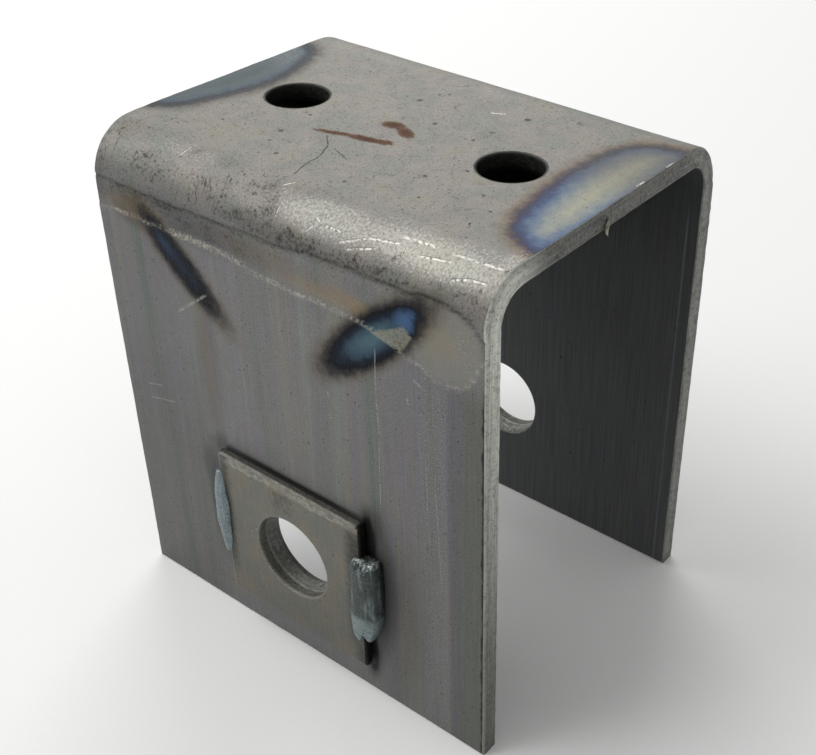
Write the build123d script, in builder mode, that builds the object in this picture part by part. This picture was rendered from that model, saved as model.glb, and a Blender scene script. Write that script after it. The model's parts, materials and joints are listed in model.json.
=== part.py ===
"""Slipper spring hanger: a folded U channel with welded bore plates and a slipper plate inside it.

The channel stands on the ends of its legs. X runs along the channel, from open end to open end,
Y runs across it, from the near leg at -Y to the far leg at +Y, and Z runs up to the web. The origin
is the middle of the footprint. All sizes are in millimetres.
"""

import os
from math import atan2, cos, degrees, radians, sin, tan

from build123d import *

# Channel: one strip of sheet, folded twice
channel_length = 94.0
channel_width = 72.0
channel_height = 106.0
sheet = 4.0
bend_outside_radius = 9.7
cut_edge_break = 0.3

# Two round holes in the web, on its centre line, punched a little off the middle
web_hole_radius = 6.2
web_hole_spacing = 52.4
web_hole_shift = -1.4

# One bolt bore straight through both legs and both bore plates
bore_radius = 9.4
bore_height = 26.8

# Every punched hole breaks out wider where the punch leaves the sheet
breakout_widening = 0.3
breakout_depth = 1.3

# Bore plates, one welded on the outside of each leg
boss_plate_width = 38.0
boss_plate_height = 36.5
boss_plate_thickness = 2.0
boss_plate_centre = 26.4
boss_plate_edge_radius = 0.5

# Slim weld bead along the left edge of a bore plate: a spindle over the edge, blunt at its top
slim_bead_radius = 2.2
slim_bead_foot_radius = 0.4
slim_bead_top_radius = 1.0
slim_bead_length = 21.5
slim_bead_centre = 29.0
slim_bead_outset = 0.3
slim_bead_axis_height = 1.0

# Heavy weld bead along the right edge of a bore plate
heavy_bead_length = 21.0
heavy_bead_centre = 26.7
heavy_bead_on_leg = 4.0
heavy_bead_on_plate = 3.0
heavy_bead_crown_outset = 1.4
heavy_bead_crown_height = 3.5
heavy_bead_end_radius = 0.9

# Slipper plate: a strip with one wide bend, hung under the web, that the spring's end slides on
slipper_flank_angle = 39.7
slipper_reach = 37.0
slipper_outside_radius = 24.0
slipper_side_gap = 0.25
slipper_corner_cut = 7.0

# Weld beads of the slipper plate: two across its ends, four along its flanks
end_bead_length = 42.0
end_bead_toe = 44.0
flank_bead_leg = 4.0
flank_bead_start = 14.5
flank_bead_stop = 31.0
bead_bulge = 0.5

# Bead of spatter that hangs on the web's right end face
spatter_y = -2.9
spatter_z = 102.3
spatter_half_width = 0.8
spatter_half_height = 1.8
spatter_thickness = 0.6
spatter_edge_radius = 0.25

# Derived places
leg_face = channel_width / 2
inner_face = leg_face - sheet
web_underside = channel_height - sheet
channel_end = channel_length / 2
breakout_angle = degrees(atan2(breakout_widening, breakout_depth))
flank_slope = tan(radians(slipper_flank_angle))
flank_sin = sin(radians(slipper_flank_angle))
flank_cos = cos(radians(slipper_flank_angle))
slipper_tip_x = slipper_reach + sheet * flank_sin
slipper_tip_z = web_underside - sheet * flank_cos
slipper_apex_z = slipper_tip_z - slipper_tip_x * flank_slope
near_face = Plane(origin=(0, -leg_face, 0), x_dir=(1, 0, 0), z_dir=(0, -1, 0))
far_face = Plane(origin=(0, leg_face, 0), x_dir=(-1, 0, 0), z_dir=(0, 1, 0))
sides = {"near": near_face, "far": far_face}

os.makedirs("parts", exist_ok=True)


# Channel
with BuildPart() as channel:
    with BuildSketch(Plane.YZ):
        with BuildLine():
            FilletPolyline(
                (-leg_face, 0),
                (-leg_face, channel_height),
                (leg_face, channel_height),
                (leg_face, 0),
                radius=bend_outside_radius,
            )
            offset(amount=sheet, side=Side.RIGHT)
        make_face()
    extrude(amount=channel_end, both=True)

    # Cut edges: the outlines of both open ends and the long edges of the feet
    end_outlines = channel.faces().filter_by(Axis.X).edges()
    foot_edges = channel.edges().group_by(Axis.Z)[0].filter_by(Axis.X)
    fillet(end_outlines + foot_edges, cut_edge_break)

    with Locations((0, 0, channel_height)):
        with Locations((web_hole_shift, 0, 0)):
            with GridLocations(web_hole_spacing, 0, 2, 1):
                Hole(web_hole_radius, depth=2 * sheet)
    with Locations(Location((0, 0, bore_height), (90, 0, 0))):
        Hole(bore_radius)

    # Breakouts under the web and on the inner faces of the legs
    with BuildSketch(Plane.XY.offset(web_underside)):
        with Locations((web_hole_shift, 0)):
            with GridLocations(web_hole_spacing, 0, 2, 1):
                Circle(web_hole_radius + breakout_widening)
    extrude(amount=breakout_depth, taper=breakout_angle, mode=Mode.SUBTRACT)
    for face in sides.values():
        with BuildSketch(face.offset(-sheet)):
            with Locations((0, bore_height)):
                Circle(bore_radius + breakout_widening)
        extrude(amount=breakout_depth, taper=breakout_angle, mode=Mode.SUBTRACT)

channel.part.label = "channel"
export_step(channel.part, "parts/channel.step")


# Bore plates and their two weld beads each
for side, face in sides.items():
    with BuildPart() as boss_plate:
        with BuildSketch(face):
            with Locations((0, boss_plate_centre)):
                Rectangle(boss_plate_width, boss_plate_height)
        extrude(amount=boss_plate_thickness)
        outer_face = boss_plate.faces().sort_by(Axis(face.origin, face.z_dir))[-1]
        fillet(outer_face.edges(), boss_plate_edge_radius)
        with BuildSketch(face):
            with Locations((0, bore_height)):
                Circle(bore_radius)
        extrude(amount=boss_plate_thickness, mode=Mode.SUBTRACT)
    boss_plate.part.label = f"{side}_boss_plate"
    export_step(boss_plate.part, f"parts/{side}_boss_plate.step")

    half_width = boss_plate_width / 2
    with BuildPart() as slim_bead:
        axis_x = -half_width - slim_bead_outset
        spindle_plane = face.offset(slim_bead_axis_height)
        with BuildSketch(spindle_plane):
            with BuildLine():
                foot = slim_bead_centre - slim_bead_length / 2
                top = slim_bead_centre + slim_bead_length / 2
                crown = Spline(
                    (axis_x + slim_bead_foot_radius, foot),
                    (axis_x + slim_bead_radius, slim_bead_centre),
                    (axis_x + slim_bead_top_radius, top),
                )
                Polyline(crown @ 1, (axis_x, top), (axis_x, foot), crown @ 0)
            make_face()
        revolve(axis=Axis(spindle_plane.from_local_coords((axis_x, 0, 0)), (0, 0, 1)))
        split(bisect_by=face, keep=Keep.TOP)
        with BuildSketch(face):
            with Locations((0, boss_plate_centre)):
                Rectangle(boss_plate_width, boss_plate_height)
        extrude(amount=boss_plate_thickness, mode=Mode.SUBTRACT)
    slim_bead.part.label = f"{side}_plate_weld_slim"
    export_step(slim_bead.part, f"parts/{side}_plate_weld_slim.step")

    # The heavy bead's section lies level, with its X along the leg and its Y into it
    heavy_level = Plane(
        origin=face.from_local_coords((0, heavy_bead_centre, 0)), x_dir=face.x_dir, z_dir=(0, 0, 1)
    )
    with BuildPart() as heavy_bead:
        with BuildSketch(heavy_level):
            with BuildLine():
                toe_leg = (half_width + heavy_bead_on_leg, 0)
                crown = (half_width + heavy_bead_crown_outset, -heavy_bead_crown_height)
                toe_plate = (half_width - heavy_bead_on_plate, -boss_plate_thickness)
                ThreePointArc(toe_leg, crown, toe_plate)
                Polyline(toe_plate, (half_width, -boss_plate_thickness), (half_width, 0), toe_leg)
            make_face()
        extrude(amount=heavy_bead_length / 2, both=True)
        crown_ends = heavy_bead.edges().filter_by(GeomType.CIRCLE)
        fillet(crown_ends, heavy_bead_end_radius)
    heavy_bead.part.label = f"{side}_plate_weld_heavy"
    export_step(heavy_bead.part, f"parts/{side}_plate_weld_heavy.step")


# Slipper plate
with BuildPart() as slipper_plate:
    with BuildSketch(Plane.XZ):
        with BuildLine():
            FilletPolyline(
                (-slipper_tip_x, slipper_tip_z),
                (0, slipper_apex_z),
                (slipper_tip_x, slipper_tip_z),
                radius=slipper_outside_radius,
            )
            offset(amount=sheet, side=Side.LEFT)
        make_face()
    extrude(amount=inner_face - slipper_side_gap, both=True)

    # The four corners are cropped, so that they clear the inside of the channel's bends
    end_corners = slipper_plate.edges().filter_by(
        lambda edge: abs(edge.length - sheet) < 0.01 and abs(edge.center().Y) > inner_face - sheet
    )
    chamfer(end_corners, slipper_corner_cut)
slipper_plate.part.label = "slipper_plate"
export_step(slipper_plate.part, "parts/slipper_plate.step")


# Beads across the slipper plate's ends, in the groove between its square ends and the web
for side, sign in {"left": -1, "right": 1}.items():
    with BuildPart() as end_bead:
        with BuildSketch(Plane.XZ):
            with BuildLine():
                root = (sign * slipper_reach, web_underside)
                tip = (sign * slipper_tip_x, slipper_tip_z)
                toe = (sign * end_bead_toe, web_underside)
                SagittaArc(tip, toe, sign * bead_bulge)
                Polyline(toe, root, tip)
            make_face()
        extrude(amount=end_bead_length / 2, both=True)
    end_bead.part.label = f"web_weld_{side}"
    export_step(end_bead.part, f"parts/web_weld_{side}.step")


# Beads along the slipper plate's flanks, in the corners between its underside and the legs
flank_bead_middle = (flank_bead_start + flank_bead_stop) / 2
flank_bead_length = (flank_bead_stop - flank_bead_start) / flank_cos
for leg, leg_sign in {"near": -1, "far": 1}.items():
    for side, sign in {"left": -1, "right": 1}.items():
        section = Plane(
            origin=(
                sign * flank_bead_middle,
                leg_sign * inner_face,
                slipper_apex_z + flank_bead_middle * flank_slope,
            ),
            x_dir=(0, -leg_sign, 0),
            z_dir=(flank_cos, 0, sign * flank_sin),
        )
        with BuildPart() as flank_bead:
            with BuildSketch(section):
                with BuildLine():
                    toe_plate = (flank_bead_leg, 0)
                    toe_leg = (0, leg_sign * flank_bead_leg)
                    SagittaArc(toe_plate, toe_leg, -leg_sign * bead_bulge)
                    Polyline(toe_leg, (0, 0), toe_plate)
                make_face()
            extrude(amount=flank_bead_length / 2, both=True)
        flank_bead.part.label = f"flank_weld_{leg}_{side}"
        export_step(flank_bead.part, f"parts/flank_weld_{leg}_{side}.step")


# Bead of spatter on the right end face
with BuildPart() as spatter:
    with BuildSketch(Plane.YZ.offset(channel_end)):
        with Locations((spatter_y, spatter_z)):
            Ellipse(spatter_half_width, spatter_half_height)
    extrude(amount=spatter_thickness)
    fillet(spatter.faces().sort_by(Axis.X)[-1].edges(), spatter_edge_radius)
spatter.part.label = "web_spatter"
export_step(spatter.part, "parts/web_spatter.step")
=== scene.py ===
"""Dresses the slipper spring hanger: meshes, node materials and a small studio round its CAD model.

The sheet parts are meshed from their flat patterns, which are then folded. A pattern's coordinates are in
millimetres and stay on the mesh, so a material can run its grain along the strip and place each mark on it.
"""

import json
import logging
import math
from collections.abc import Callable, Sequence
from dataclasses import dataclass, field
from enum import Enum

import bmesh
import bpy
import numpy as np
from mathutils import Euler, Matrix, Vector


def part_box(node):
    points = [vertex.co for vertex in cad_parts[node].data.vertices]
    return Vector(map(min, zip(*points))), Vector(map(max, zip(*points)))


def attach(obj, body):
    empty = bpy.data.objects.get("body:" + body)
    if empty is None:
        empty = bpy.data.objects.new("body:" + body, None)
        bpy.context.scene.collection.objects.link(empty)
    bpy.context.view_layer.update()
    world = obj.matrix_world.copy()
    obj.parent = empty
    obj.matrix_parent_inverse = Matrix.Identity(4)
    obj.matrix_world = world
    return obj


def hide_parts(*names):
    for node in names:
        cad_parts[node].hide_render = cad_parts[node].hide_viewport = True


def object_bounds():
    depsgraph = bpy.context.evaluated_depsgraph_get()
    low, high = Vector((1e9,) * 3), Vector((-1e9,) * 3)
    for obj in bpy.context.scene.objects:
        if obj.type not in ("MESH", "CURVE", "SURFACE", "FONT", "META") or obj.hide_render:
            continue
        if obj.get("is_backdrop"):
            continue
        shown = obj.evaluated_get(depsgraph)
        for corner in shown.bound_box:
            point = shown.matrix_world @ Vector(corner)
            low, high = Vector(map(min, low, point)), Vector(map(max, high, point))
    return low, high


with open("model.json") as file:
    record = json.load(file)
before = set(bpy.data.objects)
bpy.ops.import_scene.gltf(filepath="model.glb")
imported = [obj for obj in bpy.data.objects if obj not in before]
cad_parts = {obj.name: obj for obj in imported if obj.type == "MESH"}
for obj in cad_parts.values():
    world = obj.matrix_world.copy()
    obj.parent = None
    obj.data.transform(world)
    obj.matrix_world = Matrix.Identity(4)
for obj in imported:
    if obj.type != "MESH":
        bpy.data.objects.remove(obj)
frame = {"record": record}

Socket = bpy.types.NodeSocket
Material = bpy.types.Material
Piece = bpy.types.Object

MM = 0.001
METAL = 0.7
FINE_BUMP = 0.00014
LOG = logging.getLogger("hanger")
CAD_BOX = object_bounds()


# Small tools ---------------------------------------------------------------------------------------------


def tone(red: float, green: float, blue: float) -> tuple[float, float, float]:
    """A display colour, 0 to 255, as the linear colour that a shader takes."""
    values = (c / 255 for c in (red, green, blue))
    return tuple(c / 12.92 if c <= 0.04045 else ((c + 0.055) / 1.055) ** 2.4 for c in values)


def lit(red: float, green: float, blue: float, light: float) -> tuple[float, float, float]:
    """The shader colour that a face shows as this display colour, when it gets that much light."""
    return tuple(min(0.95, c / light) for c in tone(red, green, blue))


def box_mm(node: str) -> tuple[Vector, Vector]:
    """A CAD node's lowest and highest corner in millimetres."""
    low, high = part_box(node)
    return low / MM, high / MM


def spaced(stops: Sequence[float], steps: Sequence[float]) -> np.ndarray:
    """Lines from stop to stop.

    Args:
        stops: where a line has to lie, in rising order.
        steps: the widest spacing in each interval between two stops.

    Returns:
        The rising coordinates of all lines.
    """
    lines = [stops[0]]
    for start, end, step in zip(stops, stops[1:], steps):
        count = max(1, math.ceil((end - start) / step - 1e-6))
        lines.extend(np.linspace(start, end, count + 1)[1:])
    return np.array(lines)


def smooth_step(value: np.ndarray, low: float, high: float) -> np.ndarray:
    """0 below low, 1 above high, and an even curve between them.

    Args:
        value: the numbers.
        low: where the curve leaves 0.
        high: where it reaches 1.

    Returns:
        The curve at each number.
    """
    t = np.clip((value - low) / (high - low), 0, 1)
    return t * t * (3 - 2 * t)


class Waviness:
    """Repeatable smooth noise between -1 and 1 on a seeded lattice."""

    def __init__(self, seed: int, size: int = 64) -> None:
        """Draws the lattice."""
        self.size = size
        self.lattice = np.random.default_rng(seed).uniform(-1, 1, (size, size))

    def __call__(self, u: np.ndarray, v: np.ndarray, pitch: float) -> np.ndarray:
        """The noise at points u, v, with features about as wide as pitch.

        Args:
            u: first coordinate of the points.
            v: second coordinate of the points.
            pitch: how wide its features are.

        Returns:
            A number between -1 and 1 for each point.
        """
        u, v = np.broadcast_arrays(np.asarray(u, float) / pitch, np.asarray(v, float) / pitch)
        i, j = np.floor(u).astype(int), np.floor(v).astype(int)
        a, b = u - i, v - j
        a, b = a * a * (3 - 2 * a), b * b * (3 - 2 * b)
        i0, i1, j0, j1 = i % self.size, (i + 1) % self.size, j % self.size, (j + 1) % self.size
        near = self.lattice[i0, j0] * (1 - a) + self.lattice[i1, j0] * a
        far = self.lattice[i0, j1] * (1 - a) + self.lattice[i1, j1] * a
        return near * (1 - b) + far * b


def rounded(outline: Sequence[tuple[float, float]], rounds: int = 3) -> np.ndarray:
    """A closed outline with its corners cut again and again, until it is a smooth curve.

    Args:
        outline: the corners.
        rounds: how often they are cut.

    Returns:
        The smooth outline's points.
    """
    points = np.array(outline, float)
    for _ in range(rounds):
        following = np.roll(points, -1, axis=0)
        points = np.stack([0.75 * points + 0.25 * following, 0.25 * points + 0.75 * following],
                          1).reshape(-1, 2)
    return points


def depth_in(u: np.ndarray, v: np.ndarray, outline: np.ndarray) -> np.ndarray:
    """How far each point lies inside a closed outline.

    Args:
        u: first coordinate of the points.
        v: second coordinate of the points.
        outline: the outline's corners.

    Returns:
        The distance from the outline, negative outside it.
    """
    nearest = np.full(u.shape, 1e9)
    inside = np.zeros(u.shape, bool)
    for (au, av), (bu, bv) in zip(outline, np.roll(outline, -1, axis=0)):
        du, dv = bu - au, bv - av
        t = np.clip(((u - au) * du + (v - av) * dv) / (du * du + dv * dv + 1e-12), 0, 1)
        nearest = np.minimum(nearest, np.hypot(u - au - t * du, v - av - t * dv))
        crosses = (av > v) != (bv > v)
        inside ^= crosses & (u < du * (v - av) / (dv if dv else 1e-12) + au)
    return np.where(inside, nearest, -nearest)


@dataclass(frozen=True)
class Oval:
    """A soft oval patch on a surface.

    Attributes:
        u, v: its centre in millimetres.
        half_length, half_width: its half sizes.
        lean: the angle of its long axis from the first coordinate, in degrees.
    """

    u: float
    v: float
    half_length: float
    half_width: float
    lean: float = 0.0

    def depth(self, u: np.ndarray, v: np.ndarray) -> np.ndarray:
        """1 at its centre, 0 on its outline, and negative outside it.

        Args:
            u: first coordinate of the points.
            v: second coordinate of the points.

        Returns:
            The depth of each point.
        """
        c, s = math.cos(math.radians(self.lean)), math.sin(math.radians(self.lean))
        du, dv = u - self.u, v - self.v
        along, across = (du * c + dv * s) / self.half_length, (dv * c - du * s) / self.half_width
        return 1 - np.hypot(along, across)


def make_piece(name: str, points: np.ndarray, faces: Sequence[Sequence[int]],
               materials: Sequence[Material], nodes: Sequence[str] = (),
               attributes: dict[str, np.ndarray] | None = None,
               finish_of: Sequence[int] | None = None) -> Piece:
    """Makes a smooth closed mesh of the object.

    Args:
        name: the piece's name.
        points: its vertices in millimetres.
        faces: vertex numbers of each face.
        materials: its materials.
        nodes: the CAD nodes that it stands for.
        attributes: values for each vertex, by name: one number, or three.
        finish_of: the number of each face's material.

    Returns:
        The object, riding on the root body.
    """
    mesh = bpy.data.meshes.new(name)
    mesh.from_pydata((np.asarray(points, float) * MM).tolist(), [], faces)
    mesh.polygons.foreach_set("use_smooth", np.ones(len(mesh.polygons), bool))
    for material in materials:
        mesh.materials.append(material)
    if finish_of is not None:
        mesh.polygons.foreach_set("material_index", np.asarray(finish_of, np.int32))
    for key, values in (attributes or {}).items():
        values = np.asarray(values, np.float32)
        kind, member = ("FLOAT_VECTOR", "vector") if values.ndim == 2 else ("FLOAT", "value")
        mesh.attributes.new(key, kind, "POINT").data.foreach_set(member, values.ravel())
    shell = bmesh.new()
    shell.from_mesh(mesh)
    bmesh.ops.recalc_face_normals(shell, faces=shell.faces)
    shell.to_mesh(mesh)
    shell.free()
    piece = bpy.data.objects.new(name, mesh)
    bpy.context.scene.collection.objects.link(piece)
    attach(piece, "root")
    if nodes:
        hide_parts(*nodes)
    LOG.info("%s: %d faces", name, len(mesh.polygons))
    return piece


# Node materials ------------------------------------------------------------------------------------------

Feed = Socket | float | tuple


class Graph:
    """Builds one material's nodes with short calls. Every call gives back an output socket."""

    def __init__(self, name: str) -> None:
        """Starts an empty material.

        Args:
            name: the material's name.
        """
        self.material = bpy.data.materials.new(name)
        self.material.use_nodes = True
        self.tree = self.material.node_tree
        self.tree.nodes.clear()

    def node(self, kind: str, inputs: dict[int | str, Feed], **settings: object) -> bpy.types.Node:
        """Adds a node.

        Args:
            kind: the node's type, after "ShaderNode".
            inputs: what each input takes: an output socket, or a constant.
            settings: the node's own settings.

        Returns:
            The node.
        """
        made = self.tree.nodes.new("ShaderNode" + kind)
        for key, value in settings.items():
            setattr(made, key, value)
        for key, value in inputs.items():
            socket = made.inputs[key]
            if isinstance(value, Socket):
                self.tree.links.new(value, socket)
            elif isinstance(value, tuple) and socket.type == "RGBA":
                socket.default_value = (*value[:3], 1.0)
            else:
                socket.default_value = value
        return made

    def vector(self, name: str) -> Socket:
        """A vertex attribute of three numbers."""
        return self.node("Attribute", {}, attribute_name=name).outputs["Vector"]

    def split(self, vector: Feed) -> tuple[Socket, ...]:
        """A vector's three parts."""
        return tuple(self.node("SeparateXYZ", {0: vector}).outputs)

    def math(self, operation: str, *numbers: Feed) -> Socket:
        """One sum on numbers."""
        return self.node("Math", dict(enumerate(numbers)), operation=operation).outputs[0]

    def minus(self, number: Feed, less: Feed) -> Socket:
        """What is left of a number."""
        return self.math("SUBTRACT", number, less)

    def rest(self, share: Feed) -> Socket:
        """What a share leaves of one."""
        return self.math("SUBTRACT", 1.0, share)

    def size(self, number: Feed) -> Socket:
        """A number without its sign."""
        return self.math("ABSOLUTE", number)

    def sway(self, noise: Feed, *amounts: Feed) -> Socket:
        """How far a noise strays from its middle, times each amount."""
        return self.times(self.minus(noise, 0.5), *amounts)

    def add(self, *terms: Feed) -> Socket:
        """The sum of all terms.

        Args:
            terms: the numbers.

        Returns:
            Their sum.
        """
        total = terms[0]
        for term in terms[1:]:
            total = self.math("ADD", total, term)
        return total

    def times(self, *terms: Feed) -> Socket:
        """The product of all terms.

        Args:
            terms: the numbers.

        Returns:
            Their product.
        """
        total = terms[0]
        for term in terms[1:]:
            total = self.math("MULTIPLY", total, term)
        return total

    def step(self, value: Feed, low: float, high: float, out_low: float = 0.0,
             out_high: float = 1.0) -> Socket:
        """Goes smoothly from out_low at low to out_high at high. Low may be the greater of the two.

        Args:
            value: what is looked up.
            low: the value at one end of the curve.
            high: the value at its other end.
            out_low: what it gives at low, and beyond.
            out_high: what it gives at high, and beyond.

        Returns:
            The number on the curve.
        """
        if low > high:
            low, high, out_low, out_high = high, low, out_high, out_low
        inputs = {"Value": value, "From Min": low, "From Max": high, "To Min": out_low, "To Max": out_high}
        return self.node("MapRange", inputs, interpolation_type="SMOOTHSTEP").outputs[0]

    def stretched(self, vector: Feed, x: float, y: float, z: float) -> Socket:
        """A vector with its parts scaled."""
        return self.node("VectorMath", {0: vector, 1: (x, y, z)}, operation="MULTIPLY").outputs[0]

    def noise(self, vector: Feed, scale: float, detail: float = 2.0, roughness: float = 0.5,
              distortion: float = 0.0) -> Socket:
        """Cloudy noise, mostly between 0.3 and 0.7.

        Args:
            vector: where on the surface.
            scale: features to a millimetre.
            detail: how many finer layers it has.
            roughness: how strong the finer layers are.
            distortion: how far it is stirred.

        Returns:
            The noise.
        """
        inputs = {"Vector": vector, "Scale": scale, "Detail": detail, "Roughness": roughness,
                  "Distortion": distortion}
        return self.node("TexNoise", inputs).outputs[0]

    def cells(self, vector: Feed, scale: float) -> bpy.types.Node:
        """A pattern of cells: its Distance output is 0 at each cell's middle, and Color differs by cell."""
        return self.node("TexVoronoi", {"Vector": vector, "Scale": scale})

    def specks(self, vector: Feed, scale: float, size: float, share: Feed) -> Socket:
        """Scattered spots.

        Args:
            vector: where on the surface.
            scale: spots to a millimetre.
            size: a spot's half size, as part of the spacing.
            share: how many of the cells hold one, 0 to 1.

        Returns:
            1 in a spot and 0 elsewhere.
        """
        cells = self.cells(vector, scale)
        spot = self.step(cells.outputs["Distance"], size, size * 0.45)
        chance = self.split(cells.outputs["Color"])[0]
        return self.times(spot, self.math("LESS_THAN", chance, share))

    def spot(self, place: Feed, centre: tuple[float, float], radius: float) -> Socket:
        """1 within a soft round spot on the outer skin and 0 outside it.

        Args:
            place: where on the surface.
            centre: the spot's middle.
            radius: its radius in millimetres.

        Returns:
            How much each place lies in it.
        """
        inputs = {0: place, 1: (*centre, 0.0)}
        reach = self.node("VectorMath", inputs, operation="DISTANCE").outputs["Value"]
        return self.step(reach, radius, radius * 0.5)

    def warped(self, place: Feed, scale: float, reach: float) -> Socket:
        """A place pushed about by noise, so that what is drawn on it gets a ragged outline.

        Args:
            place: where on the surface.
            scale: the noise's features to a millimetre.
            reach: how far it pushes, in millimetres.

        Returns:
            The pushed place.
        """
        push = self.node("TexNoise", {"Vector": place, "Scale": scale, "Detail": 3.0}).outputs["Color"]
        push = self.node("VectorMath", {0: push, 1: (0.5, 0.5, 0.5)}, operation="SUBTRACT").outputs[0]
        push = self.stretched(push, 2 * reach, 2 * reach, 0.0)
        return self.node("VectorMath", {0: place, 1: push}, operation="ADD").outputs[0]

    def any(self, *shares: Feed) -> Socket:
        """The greatest of all shares.

        Args:
            shares: the numbers.

        Returns:
            The greatest.
        """
        most = shares[0]
        for share in shares[1:]:
            most = self.math("MAXIMUM", most, share)
        return most

    def ramp(self, value: Feed, low: float, high: float, rows: Sequence[tuple[float, ...]],
             light: float | None = None) -> tuple[Socket, Socket]:
        """A run of colours.

        Args:
            value: what is looked up.
            low: the value at the run's start.
            high: the value at its end.
            rows: the value, display colour and cover of each stop, in rising order.
            light: how much light the face gets, where the colours allow for it.

        Returns:
            The colour and its cover.
        """
        place = self.node("MapRange", {"Value": value, "From Min": low, "From Max": high}).outputs[0]
        made = self.node("ValToRGB", {0: place})
        elements = made.color_ramp.elements
        while len(elements) < len(rows):
            elements.new(1.0)
        for element, (at, red, green, blue, cover) in zip(elements, rows):
            colour = tone(red, green, blue) if light is None else lit(red, green, blue, light)
            element.position = (at - low) / (high - low)
            element.color = (*colour, cover)
        return made.outputs["Color"], made.outputs["Alpha"]

    def mix(self, share: Feed, a: Feed, b: Feed, blend: str = "MIX") -> Socket:
        """Colour b over colour a by that share.

        Args:
            share: how much of b covers a.
            a: the lower colour.
            b: the upper colour.
            blend: how they blend.

        Returns:
            The mixed colour.
        """
        made = self.node("Mix", {}, data_type="RGBA", blend_type=blend, clamp_factor=True)
        for key, value in ((0, share), (6, a), (7, b)):
            if isinstance(value, Socket):
                self.tree.links.new(value, made.inputs[key])
            else:
                made.inputs[key].default_value = (*value, 1.0) if isinstance(value, tuple) else value
        return made.outputs[2]

    def shaded(self, colour: Feed, factor: Feed) -> Socket:
        """A colour made lighter or darker by a factor."""
        grey = self.node("CombineXYZ", {0: factor, 1: factor, 2: factor}).outputs[0]
        return self.mix(1.0, colour, grey, "MULTIPLY")

    def scratch(self, u: Feed, v: Feed, start: tuple[float, float], end: tuple[float, float],
                half_width: float) -> Socket:
        """A straight scratch.

        Args:
            u: the surface's first coordinate in millimetres.
            v: its second coordinate.
            start: one end of the scratch.
            end: the other end.
            half_width: half the scratch's width.

        Returns:
            1 on the scratch and 0 off it.
        """
        length = math.dist(start, end)
        cu, cv = (end[0] - start[0]) / length, (end[1] - start[1]) / length
        du, dv = self.minus(u, start[0]), self.minus(v, start[1])
        along = self.add(self.times(du, cu), self.times(dv, cv))
        across = self.size(self.minus(self.times(dv, cu), self.times(du, cv)))
        past = self.size(self.minus(along, length / 2))
        on = self.step(across, half_width, half_width * 0.3)
        return self.times(on, self.step(past, length / 2, length * 0.35))

    def bump(self, height: Feed, distance: float) -> Socket:
        """A bumped normal, distance in metres.

        Args:
            height: the relief.
            distance: how far it stands proud, in metres.

        Returns:
            The bumped normal.
        """
        return self.node("Bump", {"Height": height, "Distance": distance, "Strength": 1.0}).outputs[0]

    def metal(self, colour: Feed, roughness: Feed, normal: Feed, metallic: Feed) -> Material:
        """Ends the graph in a metal surface and gives back the material.

        Args:
            colour: its colour.
            roughness: how dull it is.
            normal: its bumped normal.
            metallic: how much of it shines as bare metal.

        Returns:
            The material.
        """
        inputs = {"Base Color": colour, "Roughness": roughness, "Normal": normal, "Metallic": metallic}
        shader = self.node("BsdfPrincipled", inputs)
        output = self.node("OutputMaterial", {})
        self.tree.links.new(shader.outputs[0], output.inputs[0])
        return self.material


# Finishes ------------------------------------------------------------------------------------------------


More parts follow.
